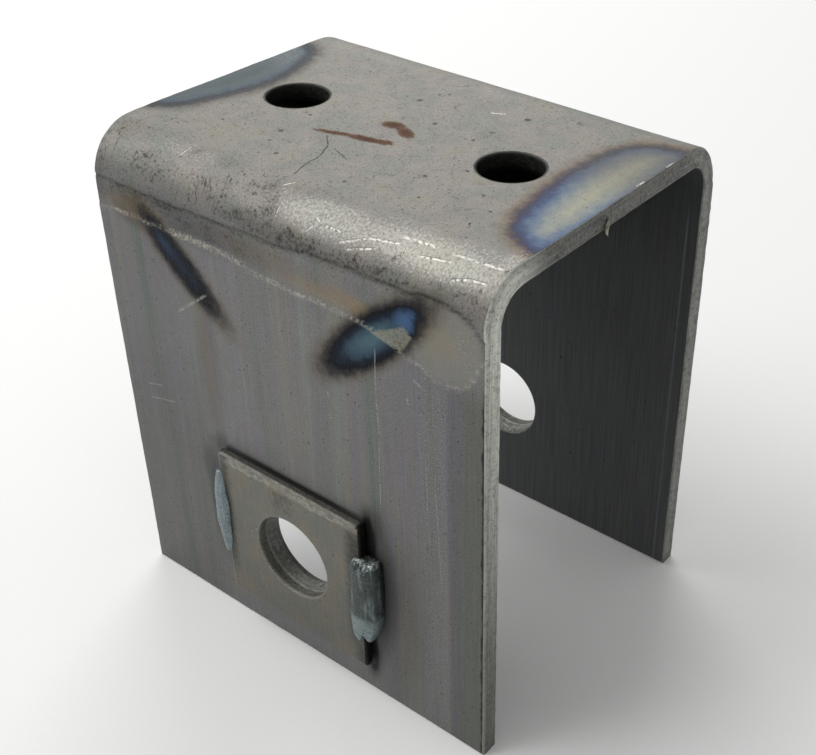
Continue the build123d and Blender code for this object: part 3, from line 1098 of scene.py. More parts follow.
class FlatPattern:
    """The mesh of a sheet as cut, before it is folded: two skins, their rims, and the holes' walls."""

    RINGS = 7

    def __init__(self, across: np.ndarray, along: np.ndarray, holes: Sequence[Hole], rim: Rim,
                 seed: int, taper: Callable[[np.ndarray], np.ndarray] | None = None) -> None:
        """Lays out the mesh.

        Args:
            across: the skins' lines in the first coordinate.
            along: the skins' lines in the second coordinate.
            holes: the holes.
            rim: the section of the outline.
            seed: the seed of the cut edges' roughness.
            taper: moves the points of the skins, to crop corners.
        """
        self.waves = Waviness(seed)
        kept = np.ones((len(across), len(along)), bool)
        for hole in holes:
            inside_u = np.abs(across - hole.u) < hole.half - 1e-6
            inside_v = np.abs(along - hole.v) < hole.half - 1e-6
            kept &= ~(inside_u[:, None] & inside_v[None, :])
        numbers = np.full(kept.shape, -1)
        numbers[kept] = np.arange(kept.sum())
        grid_u, grid_v = np.meshgrid(across, along, indexing="ij")
        flat = np.stack([grid_u[kept], grid_v[kept]], 1)
        self.flat = taper(flat) if taper else flat
        a, b, c, d = numbers[:-1, :-1], numbers[1:, :-1], numbers[1:, 1:], numbers[:-1, 1:]
        whole = (a >= 0) & (b >= 0) & (c >= 0) & (d >= 0)
        self.quads = np.stack([a[whole], b[whole], c[whole], d[whole]], 1)

        last_u, last_v = len(across) - 1, len(along) - 1
        loop = self._loop(numbers, 0, last_u, 0, last_v)
        loops = [(loop, self._outward(self.flat[loop]), rim)]
        for hole in holes:
            corner = [int(np.argmin(np.abs(lines - at))) for lines, at in (
                (across, hole.u - hole.half), (across, hole.u + hole.half),
                (along, hole.v - hole.half), (along, hole.v + hole.half))]
            loops.append(self._ring(self._loop(numbers, *corner), hole))
        self._close(loops)

    @staticmethod
    def _loop(numbers: np.ndarray, i0: int, i1: int, j0: int, j1: int) -> np.ndarray:
        """The vertices round a block of lines, counterclockwise."""
        return np.concatenate([numbers[i0:i1, j0], numbers[i1, j0:j1], numbers[i1:i0:-1, j1],
                               numbers[i0, j1:j0:-1]])

    @staticmethod
    def _outward(points: np.ndarray) -> np.ndarray:
        """For each point of a counterclockwise loop, where it goes when the loop grows by one millimetre.

        Args:
            points: the loop's points.

        Returns:
            The way that each one goes.
        """
        edge = np.roll(points, -1, axis=0) - points
        edge /= np.linalg.norm(edge, axis=1)[:, None]
        normal = np.stack([edge[:, 1], -edge[:, 0]], 1)
        before = np.roll(normal, 1, axis=0)
        return (normal + before) / (1 + (normal * before).sum(1))[:, None]

    def _ring(self, loop: np.ndarray, hole: Hole) -> tuple[np.ndarray, np.ndarray, Rim]:
        """Fills a block from its border to the hole, and gives back the hole's own loop.

        Args:
            loop: the vertices of the block's border.
            hole: the hole.

        Returns:
            The hole's loop, its ways outward, and the section of its wall.
        """
        centre = np.array([hole.u, hole.v])
        arm = self.flat[loop] - centre
        reach = np.linalg.norm(arm, axis=1)
        arm /= reach[:, None]
        previous = loop
        for ring in range(1, self.RINGS + 1):
            share = 1 - (1 - ring / self.RINGS) ** 1.4
            radius = reach + (hole.radius + hole.margin - reach) * share
            start = len(self.flat)
            self.flat = np.concatenate([self.flat, centre + arm * radius[:, None]])
            current = np.arange(start, len(self.flat))
            self.quads = np.concatenate([self.quads, self._strip(previous, current)])
            previous = current
        return previous, -arm, hole.rim

    @staticmethod
    def _strip(first: np.ndarray, second: np.ndarray) -> np.ndarray:
        """The quads between two loops."""
        return np.stack([first, np.roll(first, -1), np.roll(second, -1), second], 1)

    def _close(self, loops: Sequence[tuple[np.ndarray, np.ndarray, Rim]]) -> None:
        """Adds the inner skin and the walls between the skins.

        Args:
            loops: the vertices, ways outward and section of each rim.
        """
        count = len(self.flat)
        thickness = loops[0][2].depth[-1]
        sheets = [np.column_stack([self.flat, np.zeros(count)]),
                  np.column_stack([self.flat, np.full(count, thickness)])]
        faces = [self.quads, self.quads[:, ::-1] + count]
        total = 2 * count
        skins = 2 * len(self.quads)
        for loop, outward, rim in loops:
            base = self.flat[loop]
            previous = loop
            for outset, depth in zip(rim.outset[1:-1], rim.depth[1:-1]):
                short = rim.rough * (0.5 + 0.5 * self.waves(base[:, 0] + 7 * depth, base[:, 1] + 3 * depth,
                                                            1.6))
                points = base + outward * (outset - short)[:, None]
                sheets.append(np.column_stack([points, np.full(len(loop), depth)]))
                current = np.arange(total, total + len(loop))
                faces.append(self._strip(previous, current))
                previous, total = current, total + len(loop)
            faces.append(self._strip(previous, loop + count))
        self.points = np.concatenate(sheets)
        self.faces = np.concatenate(faces)
        self.finish_of = (np.arange(len(self.faces)) >= skins).astype(int)


@dataclass
class Channel:
    """The folded channel.

    Attributes:
        sheet: its thickness.
        bend_radius: the outside radius of its bends.
        edge_radius: how far its cut edges are rounded.
        breakout: how deep a punched hole breaks out, and breakout_widening by how much.
        margin: how far from a hole's wall the skins end.
        roll: how far the outer edge of a hole in the web is rolled in.
        bore_roll: the same for the bores.
    """

    sheet: float = 4.0
    bend_radius: float = 9.7
    edge_radius: float = 0.4
    breakout: float = 1.3
    breakout_widening: float = 0.3
    margin: float = 0.5
    roll: float = 0.35
    bore_roll: float = 0.06
    high: Vector = field(init=False)
    half_length: float = field(init=False)
    leg_face: float = field(init=False)
    web_half: float = field(init=False)
    middle_radius: float = field(init=False)
    bend_end: float = field(init=False)
    bend_z: float = field(init=False)
    foot: float = field(init=False)
    bore_z: float = field(init=False)
    bore_radius: float = field(init=False)
    web_hole_radius: float = field(init=False)
    web_holes: list[float] = field(init=False)

    # How deep and wide the die's crease is, how far its band is pressed in, and how high the band's ridge is
    CREASE_DEPTH, CREASE_WIDTH, PRESSED_DEPTH, RIDGE_HEIGHT, RIDGE_WIDTH = 0.26, 0.32, 0.12, 0.10, 0.38

    # How far the bend draws in the skin at the channel's ends, and how far along X
    DRAW, DRAW_REACH = 0.45, 2.6

    # The crease that the die leaves, and the lower border of its band, as height at each place along X
    CREASE = (
        (-47, 96.9), (-35, 96.7), (-21, 96.9), (-6, 97.4), (2, 97.5), (8, 98.6), (24, 98.9), (31, 98.9),
        (36, 99.9), (40, 99.4), (43, 98.6), (45.6, 97.2), (47, 94.5),
    )
    RIDGE = (
        (-47, 90.4), (-40, 90.9), (-22, 91.2), (-13, 91.3), (-5.5, 90.2), (3, 89.8), (22, 89.6),
        (27, 88.0), (32, 86.2), (36, 84.9), (40, 84.6), (43, 85.6), (45, 88.2), (46, 91.5), (47, 95.0),
    )
    RIGHT_TINT = (
        (50, -25), (42, -21.8), (38.3, -19.2), (36.2, -14), (35.0, -7), (34.0, 0.3), (33.9, 6.6),
        (34.5, 13.5), (35.6, 18.5), (38, 22.4), (42, 24.6), (50, 25.5),
    )
    LEFT_TINT = (
        (-50, -22.5), (-44.5, -20.4), (-41, -17.3), (-39.6, -11.7), (-38.1, -7.3), (-36.8, -2.5),
        (-36.3, 2.4), (-37.2, 8.2), (-39.3, 14.6), (-42, 20.2), (-46.3, 21.8), (-50, 22.5),
    )

    # On the near leg, as X and Z: where its right tint is rubbed bare, and the smooth tongue beside it
    SILVER = (
        (22.3, 88.5), (26.4, 90.4), (30.0, 92.4), (31.7, 90.8), (29.5, 87.4), (26.7, 87.5),
        (23.5, 88.2),
    )
    TONGUE = (
        (32.5, 85.8), (37.5, 84.6), (42.1, 84.8), (45.1, 87.8), (46.0, 91.8), (45.6, 96.4),
        (42.9, 98.4), (38.5, 99.1), (33.0, 98.0), (31.0, 91.0),
    )

    # Burnt ovals on both legs and blue patches on the near one, as X and Z
    SCORCH_RIGHT = Oval(23.0, 87.2, 14.4, 4.0, 41.4)
    SCORCH_LEFT = Oval(-24.6, 84.8, 11.2, 2.9, -41.0)
    BLUE_RIGHT = Oval(31.4, 94.0, 5.4, 4.2, 40)
    BLUE_LEFT = Oval(-29.8, 88.2, 6.0, 4.0, -41)

    # Stained, rubbed and rusty places on the flat pattern, with painted shadows among the dark ones and a
    # painted highlight among the pale ones: how strong each is, then its oval
    DARK = (
        (0.6, -31.5, -33, 6, 2.6), (0.3, -22, -33.5, 12, 3.4), (0.55, -14.8, -33, 5, 2.2, 10),
        (0.75, -2.2, -31.6, 3.6, 2.0, -35), (0.75, -6, -35.2, 5.5, 1.5), (0.5, -42.3, -29.5, 3, 3),
        (0.6, -23.5, -28.7, 2.6, 1.5, 20), (0.6, -7.4, -31.2, 3, 1.4), (0.5, 3, -29.0, 5, 2.2, 25),
        (0.5, -16.4, -28.7, 2.4, 1.2), (0.75, 3, -35.6, 15, 1.6), (0.6, 22, -35.2, 12, 1.2),
        (0.4, 21, -33.8, 12, 1.8), (0.5, 42, -34.5, 6, 2.0), (0.5, -46, -36, 3, 8),
        (0.5, -18.3, -14, 1.6, 1.1), (0.35, 13.3, 8.5, 2.0, 3.0), (0.25, -46, 0, 1.6, 24),
        (0.20, -40, -75, 12, 60), (0.42, -38, -110, 17, 42), (0.62, -26, -40.6, 26, 3.6),
        # The last oval on this line and the next five paint shadows on the near leg: the heavy bead's, the
        # dark gap beside the plate's right edge, the line above the plate's top and the shade at its top
        # left corner
        (0.95, -35, -42.6, 8, 3.4), (0.2, -36, -50, 12, 9), (0.9, 21.6, -106, 5.6, 18),
        (1.6, 19.4, -94.5, 2.0, 8), (0.85, 21, -91, 3.0, 6), (1.6, 19.0, -124, 1.9, 6.5),
        (1.3, 0, -89.7, 21, 0.9), (0.9, -19.6, -91.0, 2.4, 4.5), (0.8, -21.6, -106, 3.4, 16),
        (0.42, -20.2, -72, 2.4, 19), (1.05, -22.8, -105, 2.6, 14), (0.8, -23.5, -97, 3.0, 6),
        (0.6, 0, -127.5, 20, 1.7), (0.45, 27, -112, 6, 20), (0.1, 41, -90, 2.4, 55),
    )
    PALE = (
        # The first five pale ovals, along the near bend, paint a highlight over rubbed places
        (0.95, 33, -30.4, 17, 3.0), (0.75, 12, -31.0, 15, 3.0), (0.8, 45.3, -27.4, 1.8, 5),
        (0.5, 40, -28.0, 8, 2.6), (0.35, 26, -27.2, 9, 1.6), (0.3, 45.5, 6, 1.3, 16),
        (0.45, 42.4, -42.5, 3.4, 5.0), (0.22, -26, -30.4, 12, 3.0), (0.4, 12, -43.6, 12, 1.0),
        (0.7, -18, -43.4, 12, 0.9), (0.5, 4, -45.0, 16, 0.7), (0.3, 8, -52, 7, 5, -10),
        (0.3, -30, 26.0, 16, 2.0), (0.3, 2, 25.0, 8, 2), (0.5, -40, 17.0, 2.4, 1.4),
        (0.4, -25, -29.0, 9, 1.6), (0.6, 7.6, -33.4, 2.0, 1.0), (0.3, -44, -24, 2, 5),
    )
    WARM = (
        (0.22, -20.5, -71, 1.7, 13, 3), (0.4, -36.5, -42.2, 7, 2.6), (0.85, 20.5, -43.0, 5.4, 1.6, -18),
        (0.5, 11, -42.6, 9, 1.5), (0.6, 37.4, -42.4, 3.2, 3.6, 30), (0.7, 39.2, -2.6, 1.2, 1.0),
        (0.6, 42.5, 24.2, 4, 1.6), (0.4, 45, -7, 3, 4), (0.55, 45.0, 21, 2.6, 4),
        (0.2, -2, -40.5, 12, 2),
    )
    RUST = (
        (0.9, -9.5, -8.6, 5.4, 0.9, 16), (1.1, -3.0, -7.1, 6.0, 1.2, 11),
        (1.0, 0.7, -5.9, 1.6, 1.0, 20), (1.1, -3.4, 0.9, 2.8, 1.8, 10), (1.1, 0.6, -0.4, 3.2, 1.6, -30),
    )

    def __post_init__(self) -> None:
        """Reads the size from the CAD node."""
        self.high = box_mm("channel")[1]
        self.half_length = self.high.x
        self.leg_face = self.high.y
        self.web_half = self.leg_face - self.bend_radius
        self.middle_radius = self.bend_radius - self.sheet / 2
        self.bend_end = self.web_half + self.middle_radius * math.pi / 2
        self.bend_z = self.high.z - self.bend_radius
        self.foot = self.bend_end + self.bend_z
        mounts = {m["name"]: m for m in frame["record"]["mounts"]}
        self.bore_z = mounts["bolt_bore"]["pos_m"][2] / MM
        self.bore_radius = mounts["bolt_bore"]["dims"]["r_mm"]
        row = mounts["web_holes"]
        half_pitch = row["dims"]["spacing_x_mm"] / 2
        self.web_hole_radius = row["dims"]["hole_r_mm"]
        self.web_holes = [row["pos_m"][0] / MM + side * half_pitch for side in (-1, 1)]

    def pattern(self) -> FlatPattern:
        """The flat pattern, with X across and the run over the web along.

        Returns:
            The pattern.
        """
        web_block, bore_block = 9.0, 14.0
        rim = Rim.sheared(self.sheet, self.edge_radius, 0.12)
        wall = Rim.punched(self.sheet, self.margin, self.roll, self.breakout_widening, self.breakout)
        bore_wall = Rim.punched(self.sheet, self.margin, self.bore_roll, self.breakout_widening,
                                self.breakout)
        bore_run = self.foot - self.bore_z
        holes = [Hole(x, 0.0, self.web_hole_radius, web_block, wall, self.margin) for x in self.web_holes]
        holes += [Hole(0.0, side * bore_run, self.bore_radius, bore_block, bore_wall,
                       self.margin) for side in (-1, 1)]
        end, left, right = self.half_length - self.edge_radius, *self.web_holes
        stops = [-end, -end + 0.4, left - web_block, left + web_block, -bore_block, bore_block,
                 right - web_block, right + web_block, end - 0.4, end]
        across = spaced(stops, [1.0] * 9)
        foot = self.foot - self.edge_radius
        stops = [0, web_block, self.web_half, 33.0, 50.0, bore_run - bore_block, bore_run + bore_block,
                 foot - 0.4, foot]
        half = spaced(stops, [1.0, 1.0, 0.6, 0.4, 1.1, 1.0, 1.0, 0.4])
        along = np.concatenate([-half[:0:-1], half])
        return FlatPattern(across, along, holes, rim, seed=11)

    def height(self, run: np.ndarray) -> np.ndarray:
        """How high the outer skin is at a run from the middle of the web."""
        turn = np.clip((run - self.web_half) / self.middle_radius, 0, math.pi / 2)
        return self.bend_z + self.bend_radius * np.cos(turn) - np.maximum(run - self.bend_end, 0)

    def fold(self, points: np.ndarray) -> np.ndarray:
        """Folds the flat pattern: X, the run and the depth become X, Y and Z.

        Args:
            points: X, run and depth of each vertex.

        Returns:
            The folded points.
        """
        x, s, d = points.T
        side, run = np.where(s < 0, -1.0, 1.0), np.abs(s)
        turn = np.clip((run - self.web_half) / self.middle_radius, 0, math.pi / 2)
        reach = self.bend_radius - d
        y = side * (np.minimum(run, self.web_half) + reach * np.sin(turn))
        z = self.bend_z + reach * np.cos(turn) - np.maximum(run - self.bend_end, 0)
        return np.column_stack([x, y, z])

    @staticmethod
    def _line(table: Sequence[tuple[float, float]], x: np.ndarray) -> np.ndarray:
        """The height of a wandering line at each x."""
        places, heights = zip(*table)
        return sum(np.interp(x + shift, places, heights) for shift in (-1.5, 0.0, 1.5)) / 3

    def relief(self, points: np.ndarray) -> tuple[np.ndarray, np.ndarray, np.ndarray]:
        """What rolling and folding did to the outer skin.

        Args:
            points: X, run and depth of each vertex.

        Returns:
            How far each vertex sinks, and how much it lies on the crease and on the band's lower ridge.
        """
        x, s, d = points.T
        waves = Waviness(23)
        side = np.where(s < 0, 1.0, -1.0)
        z = self.height(np.abs(s))
        fade = np.clip(1 - d / 1.5, 0, 1)
        wander = 0.35 * waves(x, side * 40, 3.0) + 0.12 * waves(x, side * 40, 0.9)
        from_crease = z - self._line(self.CREASE, side * x) - 0.6 * wander
        from_ridge = z - self._line(self.RIDGE, side * x) - wander
        on_leg = np.abs(s) > self.web_half
        crease = on_leg * np.exp(-(from_crease / self.CREASE_WIDTH) ** 2)
        ridge = on_leg * np.exp(-(from_ridge / self.RIDGE_WIDTH) ** 2) * (0.45 + 0.55 * (waves(x, s,
                                                                                               2.2) > -0.1))
        pressed = on_leg * smooth_step(from_ridge, -0.2, 0.5) * smooth_step(from_crease, 0.3, -0.5)
        swell = 0.05 * waves(x, s, 17.0) + 0.03 * waves(x, s, 6.0)
        sink = swell - swell.min() + self.CREASE_DEPTH * crease
        sink = sink + self.PRESSED_DEPTH * pressed - self.RIDGE_HEIGHT * ridge
        web = (np.abs(s) < self.web_half) & (d == 0)
        sink = sink - np.where(np.abs(s) < 33, sink[web].min(), 0)
        return sink * fade, crease, ridge

    def build(self, skin: Material, cut: Material) -> Piece:
        """Makes the channel.

        Args:
            skin: the material of its skins.
            cut: the material of its cut edges.

        Returns:
            The channel.
        """
        pattern = self.pattern()
        points = pattern.points
        sink, crease, ridge = self.relief(points)
        x, s, d = points.T
        z = self.height(np.abs(s))
        draw = self.DRAW * np.exp(-((self.half_length - np.abs(x)) / self.DRAW_REACH) ** 2)
        draw = draw * (1 - d / self.sheet)
        draw *= smooth_step(np.abs(s), 24, 31) * smooth_step(np.abs(s), 41, 35)
        moved = np.column_stack([x - np.sign(x) * draw, s, d + sink])

        outer = d < 1.5
        tint_right = np.clip(depth_in(x, s, rounded(self.RIGHT_TINT)), -6, 12)
        tint_left = np.clip(depth_in(x, s, rounded(self.LEFT_TINT)), -6, 12)
        near = outer & (s < 0)
        far = outer & (s > 0)
        scorch = np.full(x.shape, -2.0)
        for on, side in ((near, 1.0), (far, -1.0)):
            right = self.SCORCH_RIGHT.depth(side * x, z)
            left = self.SCORCH_LEFT.depth(side * x, z)
            scorch = np.where(on, np.maximum(right, np.where(left > 0, 0.34 * left, 0.75 * left)), scorch)
        tints = np.column_stack([tint_right, tint_left, scorch])
        blue = np.maximum(self.BLUE_RIGHT.depth(x, z), 0.45 * self.BLUE_LEFT.depth(x, z))
        blue = np.where(near, blue, -1)
        silver = np.where(near, np.clip(depth_in(x, z, np.array(self.SILVER)), -3, 3), -3)
        tongue = np.where(near, np.clip(depth_in(x, z, rounded(self.TONGUE)), -3, 3), -3)
        patches = np.column_stack([blue, silver, tongue])

        def field_of(table: Sequence[tuple[float, ...]], soft: float) -> np.ndarray:
            """How strongly the ovals of a table lie on each vertex of the outer skin."""
            strengths = [level * smooth_step(Oval(*oval).depth(x, s), -soft, soft) for level, *oval in table]
            return np.max(strengths, axis=0) * outer

        # Besides real marks, these fields carry painted shadows and a painted highlight
        stains_and_painted_light = np.column_stack([field_of(self.DARK, 0.55), field_of(self.PALE, 0.55),
                                  field_of(self.WARM, 0.6)])
        rust = np.max([level * Oval(*oval).depth(x, s) for level, *oval in self.RUST], axis=0)
        marks = np.column_stack([crease, ridge, np.where(outer, np.maximum(rust, -1.5), -1.5)])
        return make_piece("channel_steel", self.fold(moved), pattern.faces.tolist(),
                          [skin, cut], ["channel"],
                          {"sheet": points, "tints": tints, "stains_and_painted_light": stains_and_painted_light, "marks": marks,
                           "patches": patches}, pattern.finish_of)


class Side(Enum):
    """A leg of the channel: its sign along Y, which is also the sign of the turn that faces it outward."""

    NEAR = -1
    FAR = 1

    @property
    def label(self) -> str:
        """The side's name in the names of nodes."""
        return self.name.lower()

    def place(self, points: np.ndarray, leg_face: float) -> np.ndarray:
        """Points with X to the right, Y up and Z outward on this leg's face, as X, Y and Z of the hanger."""
        right, up, out = points.T
        return np.column_stack([-self.value * right, self.value * (leg_face + out), up])


@dataclass
class BorePlate:
    """A plate round the bore of a leg.

    Attributes:
        side: the leg that it is welded to.
        edge_radius: how far its outer edges are rounded.
        roll: how wide the rolled band at its top edge is.
    """

    side: Side
    edge_radius: float = 0.45
    roll: float = 1.1

    def build(self, channel: Channel, skin: Material, cut: Material) -> Piece:
        """Makes the plate.

        Args:
            channel: the channel that it is welded to.
            skin: the material of its skins.
            cut: the material of its cut edges.

        Returns:
            The plate.
        """
        node = f"{self.side.label}_boss_plate"
        low, high = box_mm(node)
        thickness, half_width = high.y - low.y, high.x
        margin, block = 0.4, 12.5
        rim = Rim.sheared(thickness, self.edge_radius, 0.08)
        wall = Rim.punched(thickness, margin, 0.3, 0.0, 0.2)
        hole = Hole(0.0, channel.bore_z, channel.bore_radius, block, wall, margin)
        end = half_width - self.edge_radius
        across = spaced([-end, -end + 0.4, -block, block, end - 0.4, end], [0.4, 0.7, 0.9, 0.7, 0.4])
        bottom, top = low.z + self.edge_radius, high.z - self.edge_radius
        stops = [bottom, bottom + 0.4, hole.v - block, hole.v + block, top - 2.2, top]
        up = spaced(stops, [0.4, 0.7, 0.9, 0.7, 0.22])
        pattern = FlatPattern(across, up, [hole], rim, seed=31 + self.side.value)
        u, v, d = pattern.points.T
        waves = Waviness(37)
        fade = np.clip(1 - d / thickness, 0, 1)
        from_top = high.z - v + 0.15 * waves(u, v, 2.5)
        rolled = 0.32 * smooth_step(from_top, self.roll, 0.15) * (0.75 + 0.25 * waves(u, 0 * u, 4.0))
        swell = 0.03 * (1 + waves(u, v, 9.0))
        depth = d + fade * (rolled + swell)
        skin_low = depth[(d == 0)].min()
        depth = depth - fade * skin_low
        points = self.side.place(np.column_stack([u, v, thickness - depth]), channel.leg_face)
        return make_piece(node + "_steel", points, pattern.faces.tolist(), [skin, cut],
                          [node], {"sheet": pattern.points}, pattern.finish_of)


class Bead:
    """A weld bead: a row of sections from end to end, each a closed loop of the same count."""

    def __init__(self, sections: Sequence[np.ndarray]) -> None:
        """Joins the sections.

        Args:
            sections: for each place along the bead, the loop's points.
        """
        count = len(sections[0])
        ends = [sections[0].mean(0), sections[-1].mean(0)]
        self.points = np.concatenate([*sections, ends])
        ring = np.arange(count)
        after = np.roll(ring, -1)
        starts = np.arange(len(sections) - 1)[:, None] * count
        strips = np.stack([starts + ring, starts + after, starts + count + after, starts + count + ring], 2)
        first, second = len(self.points) - 2, len(self.points) - 1
        last = (len(sections) - 1) * count
        self.faces = strips.reshape(-1, 4).tolist()
        self.faces += [[first, int(b), int(a)] for a, b in zip(ring, after)]
        self.faces += [[second, last + int(a), last + int(b)] for a, b in zip(ring, after)]


@dataclass
class PlateBead:
    """A weld bead along an edge of a bore plate, in sections with X to the right and Y outward.

    Attributes:
        side: the leg that the plate is on.
        rows: how many sections it has from end to end.
        columns: how many points a section's face has.
    """

    side: Side
    rows: int
    columns: int
    KIND = ""

    def __post_init__(self) -> None:
        """Reads the sizes from the CAD nodes."""
        self.node = f"{self.side.label}_plate_weld_{self.KIND}"
        self.low, self.high = box_mm(self.node)
        plate_low, plate_high = box_mm(f"{self.side.label}_boss_plate")
        self.half_width = plate_high.x
        self.thick = plate_high.y - plate_low.y
        self.proud = self.high.y - self.low.y
        self.left = self.low.x if self.side is Side.NEAR else -self.high.x
        self.right = self.left + (self.high.x - self.low.x)

    def piece(self, sections: Sequence[np.ndarray], channel: Channel,
              metal: Material) -> Piece:
        """Makes the bead from its sections.

        Args:
            sections: the loops of points from its foot to its top.
            channel: the channel that it is welded to.
            metal: its material.

        Returns:
            The bead.
        """
        bead = Bead(sections)
        points = self.side.place(bead.points, channel.leg_face)
        return make_piece(self.node + "_metal", points, bead.faces, [metal], [self.node],
                          {"sheet": bead.points})


@dataclass
class SlimBead(PlateBead):
    """The slim bead on the left edge of a bore plate: a spindle that leans from the leg onto the plate."""

    rows: int = 70
    columns: int = 26
    KIND = "slim"
    RIPPLES, RIPPLE = 17, 0.035
    LEAST_WIDTH, LEAN = 0.22, 0.12

    def build(self, channel: Channel, metal: Material) -> Piece:
        """Makes the bead.

        Args:
            channel: the channel that it is welded to.
            metal: its material.

        Returns:
            The bead.
        """
        edge, thick, proud = -self.half_width, self.thick, self.proud
        waves = Waviness(41 + self.side.value)
        sections = []
        for t in np.linspace(0, 1, self.rows):
            z = self.low.z + (self.high.z - self.low.z) * t
            belly = math.sin(math.pi * min(1.0, (0.06 + 0.94 * t) * 0.93)) ** 0.75
            phase = 2 * math.pi * self.RIPPLES * t + 2.0 * float(waves(t * 9, 0, 1.0))
            ripple = 1 + self.RIPPLE * math.sin(phase)
            width = max(self.LEAST_WIDTH, belly) * ripple
            lean = float(waves(t * 5, 3, 1.0)) * self.LEAN
            on_leg = edge - (edge - self.left) * (0.25 + 0.75 * width) + lean
            on_plate = edge + (self.right - edge) * (0.1 + 0.9 * width) + lean
            crown = thick + (proud - thick) * width if width > 0.3 else thick * (0.4 + 2 * (width - 0.1))
            crown = min(crown, proud)
            a = np.linspace(0, math.pi, self.columns)
            middle, half = (on_leg + on_plate) / 2, (on_plate - on_leg) / 2
            foot = np.interp(a, [0, math.pi], [0.0, thick * 0.98])
            arc = np.column_stack([middle - half * np.cos(a), foot + (crown - foot) * np.sin(a) ** 0.8])
            arc[:, 1] += 0.03 * waves(arc[:, 0] * 3, z, 0.7)
            arc[:, 1] = np.minimum(arc[:, 1], proud)
            back = np.array([[edge + 0.02, thick * 0.9], [edge + 0.02, 0.0]])
            loop = np.concatenate([arc, back])
            sections.append(np.column_stack([loop[:, 0], np.full(len(loop), z), loop[:, 1]]))
        return self.piece(sections, channel, metal)


@dataclass
class HeavyBead(PlateBead):
    """The heavy bead on the right edge of a bore plate: a stubby convex fillet with ripples."""

    rows: int = 90
    columns: int = 34
    KIND = "heavy"
    RIPPLE, RIPPLE_PITCH = 0.05, 1.15
    SWELL, SHOULDER = 0.05, 1.2
    NOTCH, JAG = 2.2, 0.7

    # How wide it lies on the leg and on the plate, at each part of its length
    BITE = ((0, 0.08, 0.18, 0.34, 0.7, 1), (0.50, 0.62, 0.86, 0.98, 1, 0.94))
    BELLY = ((0, 0.10, 0.30, 0.6, 0.9, 1), (0.50, 0.86, 1, 0.92, 0.74, 0.62))

    def build(self, channel: Channel, metal: Material) -> Piece:
        """Makes the bead.

        Args:
            channel: the channel that it is welded to.
            metal: its material.

        Returns:
            The bead.
        """
        edge, thick, proud = self.half_width, self.thick, self.proud
        waves = Waviness(53 + self.side.value)
        length = self.high.z - self.low.z
        sections = []
        for t in 0.5 - 0.5 * np.cos(np.linspace(0, math.pi, self.rows)):
            z = self.low.z + length * t
            end = min(t, 1 - t) * length
            shoulder = math.sqrt(max(0.0, 1 - (1 - min(1.0, end / self.SHOULDER)) ** 2))
            phase = 2 * math.pi * length * t / self.RIPPLE_PITCH + 1.6 * float(waves(t * 14, 1, 1.0))
            ripple = self.RIPPLE * math.sin(phase)
            swell = 1 + self.SWELL * float(waves(t * 6, 5, 1.0))
            crown = thick + (proud - thick) * (0.55 + 0.45 * shoulder) + ripple * shoulder
            bite = np.interp(t, *self.BITE)
            belly = np.interp(t, *self.BELLY)
            on_leg = edge + (self.right - edge) * bite * (0.8 + 0.2 * shoulder) * min(1.0, swell)
            on_plate = edge - (edge - self.left) * belly * (0.7 + 0.3 * shoulder) * min(1.0, swell)
            a = np.linspace(0, math.pi, self.columns)
            middle, half = (on_leg + on_plate) / 2, (on_leg - on_plate) / 2
            foot = np.interp(a, [0, math.pi], [thick * 0.98, 0.0])
            arc = np.column_stack([middle - half * np.cos(a), foot + (crown - foot) * np.sin(a) ** 0.55])
            arc[:, 1] += 0.05 * waves(arc[:, 0] * 2.0, z, 1.1) * np.sin(a)
            arc[:, 1] = np.minimum(arc[:, 1], proud)
            back = np.array([[edge - 0.02, 0.0], [edge - 0.02, thick * 0.9]])
            loop = np.concatenate([arc, back])
            turn = np.concatenate([a, [math.pi, 0.0]])
            notch = self.NOTCH * (1 - smooth_step(np.array(t), 0, 0.22))
            notch = notch * np.exp(-((turn - 0.60 * math.pi) / 0.42) ** 2)
            jag = self.JAG * smooth_step(np.array(t), 0.88,
                                         1.0) * (1 + waves(turn * 2.2, 9, 1.0)) * np.sin(turn)
            sections.append(np.column_stack([loop[:, 0], z + notch - jag, loop[:, 1]]))
        return self.piece(sections, channel, metal)


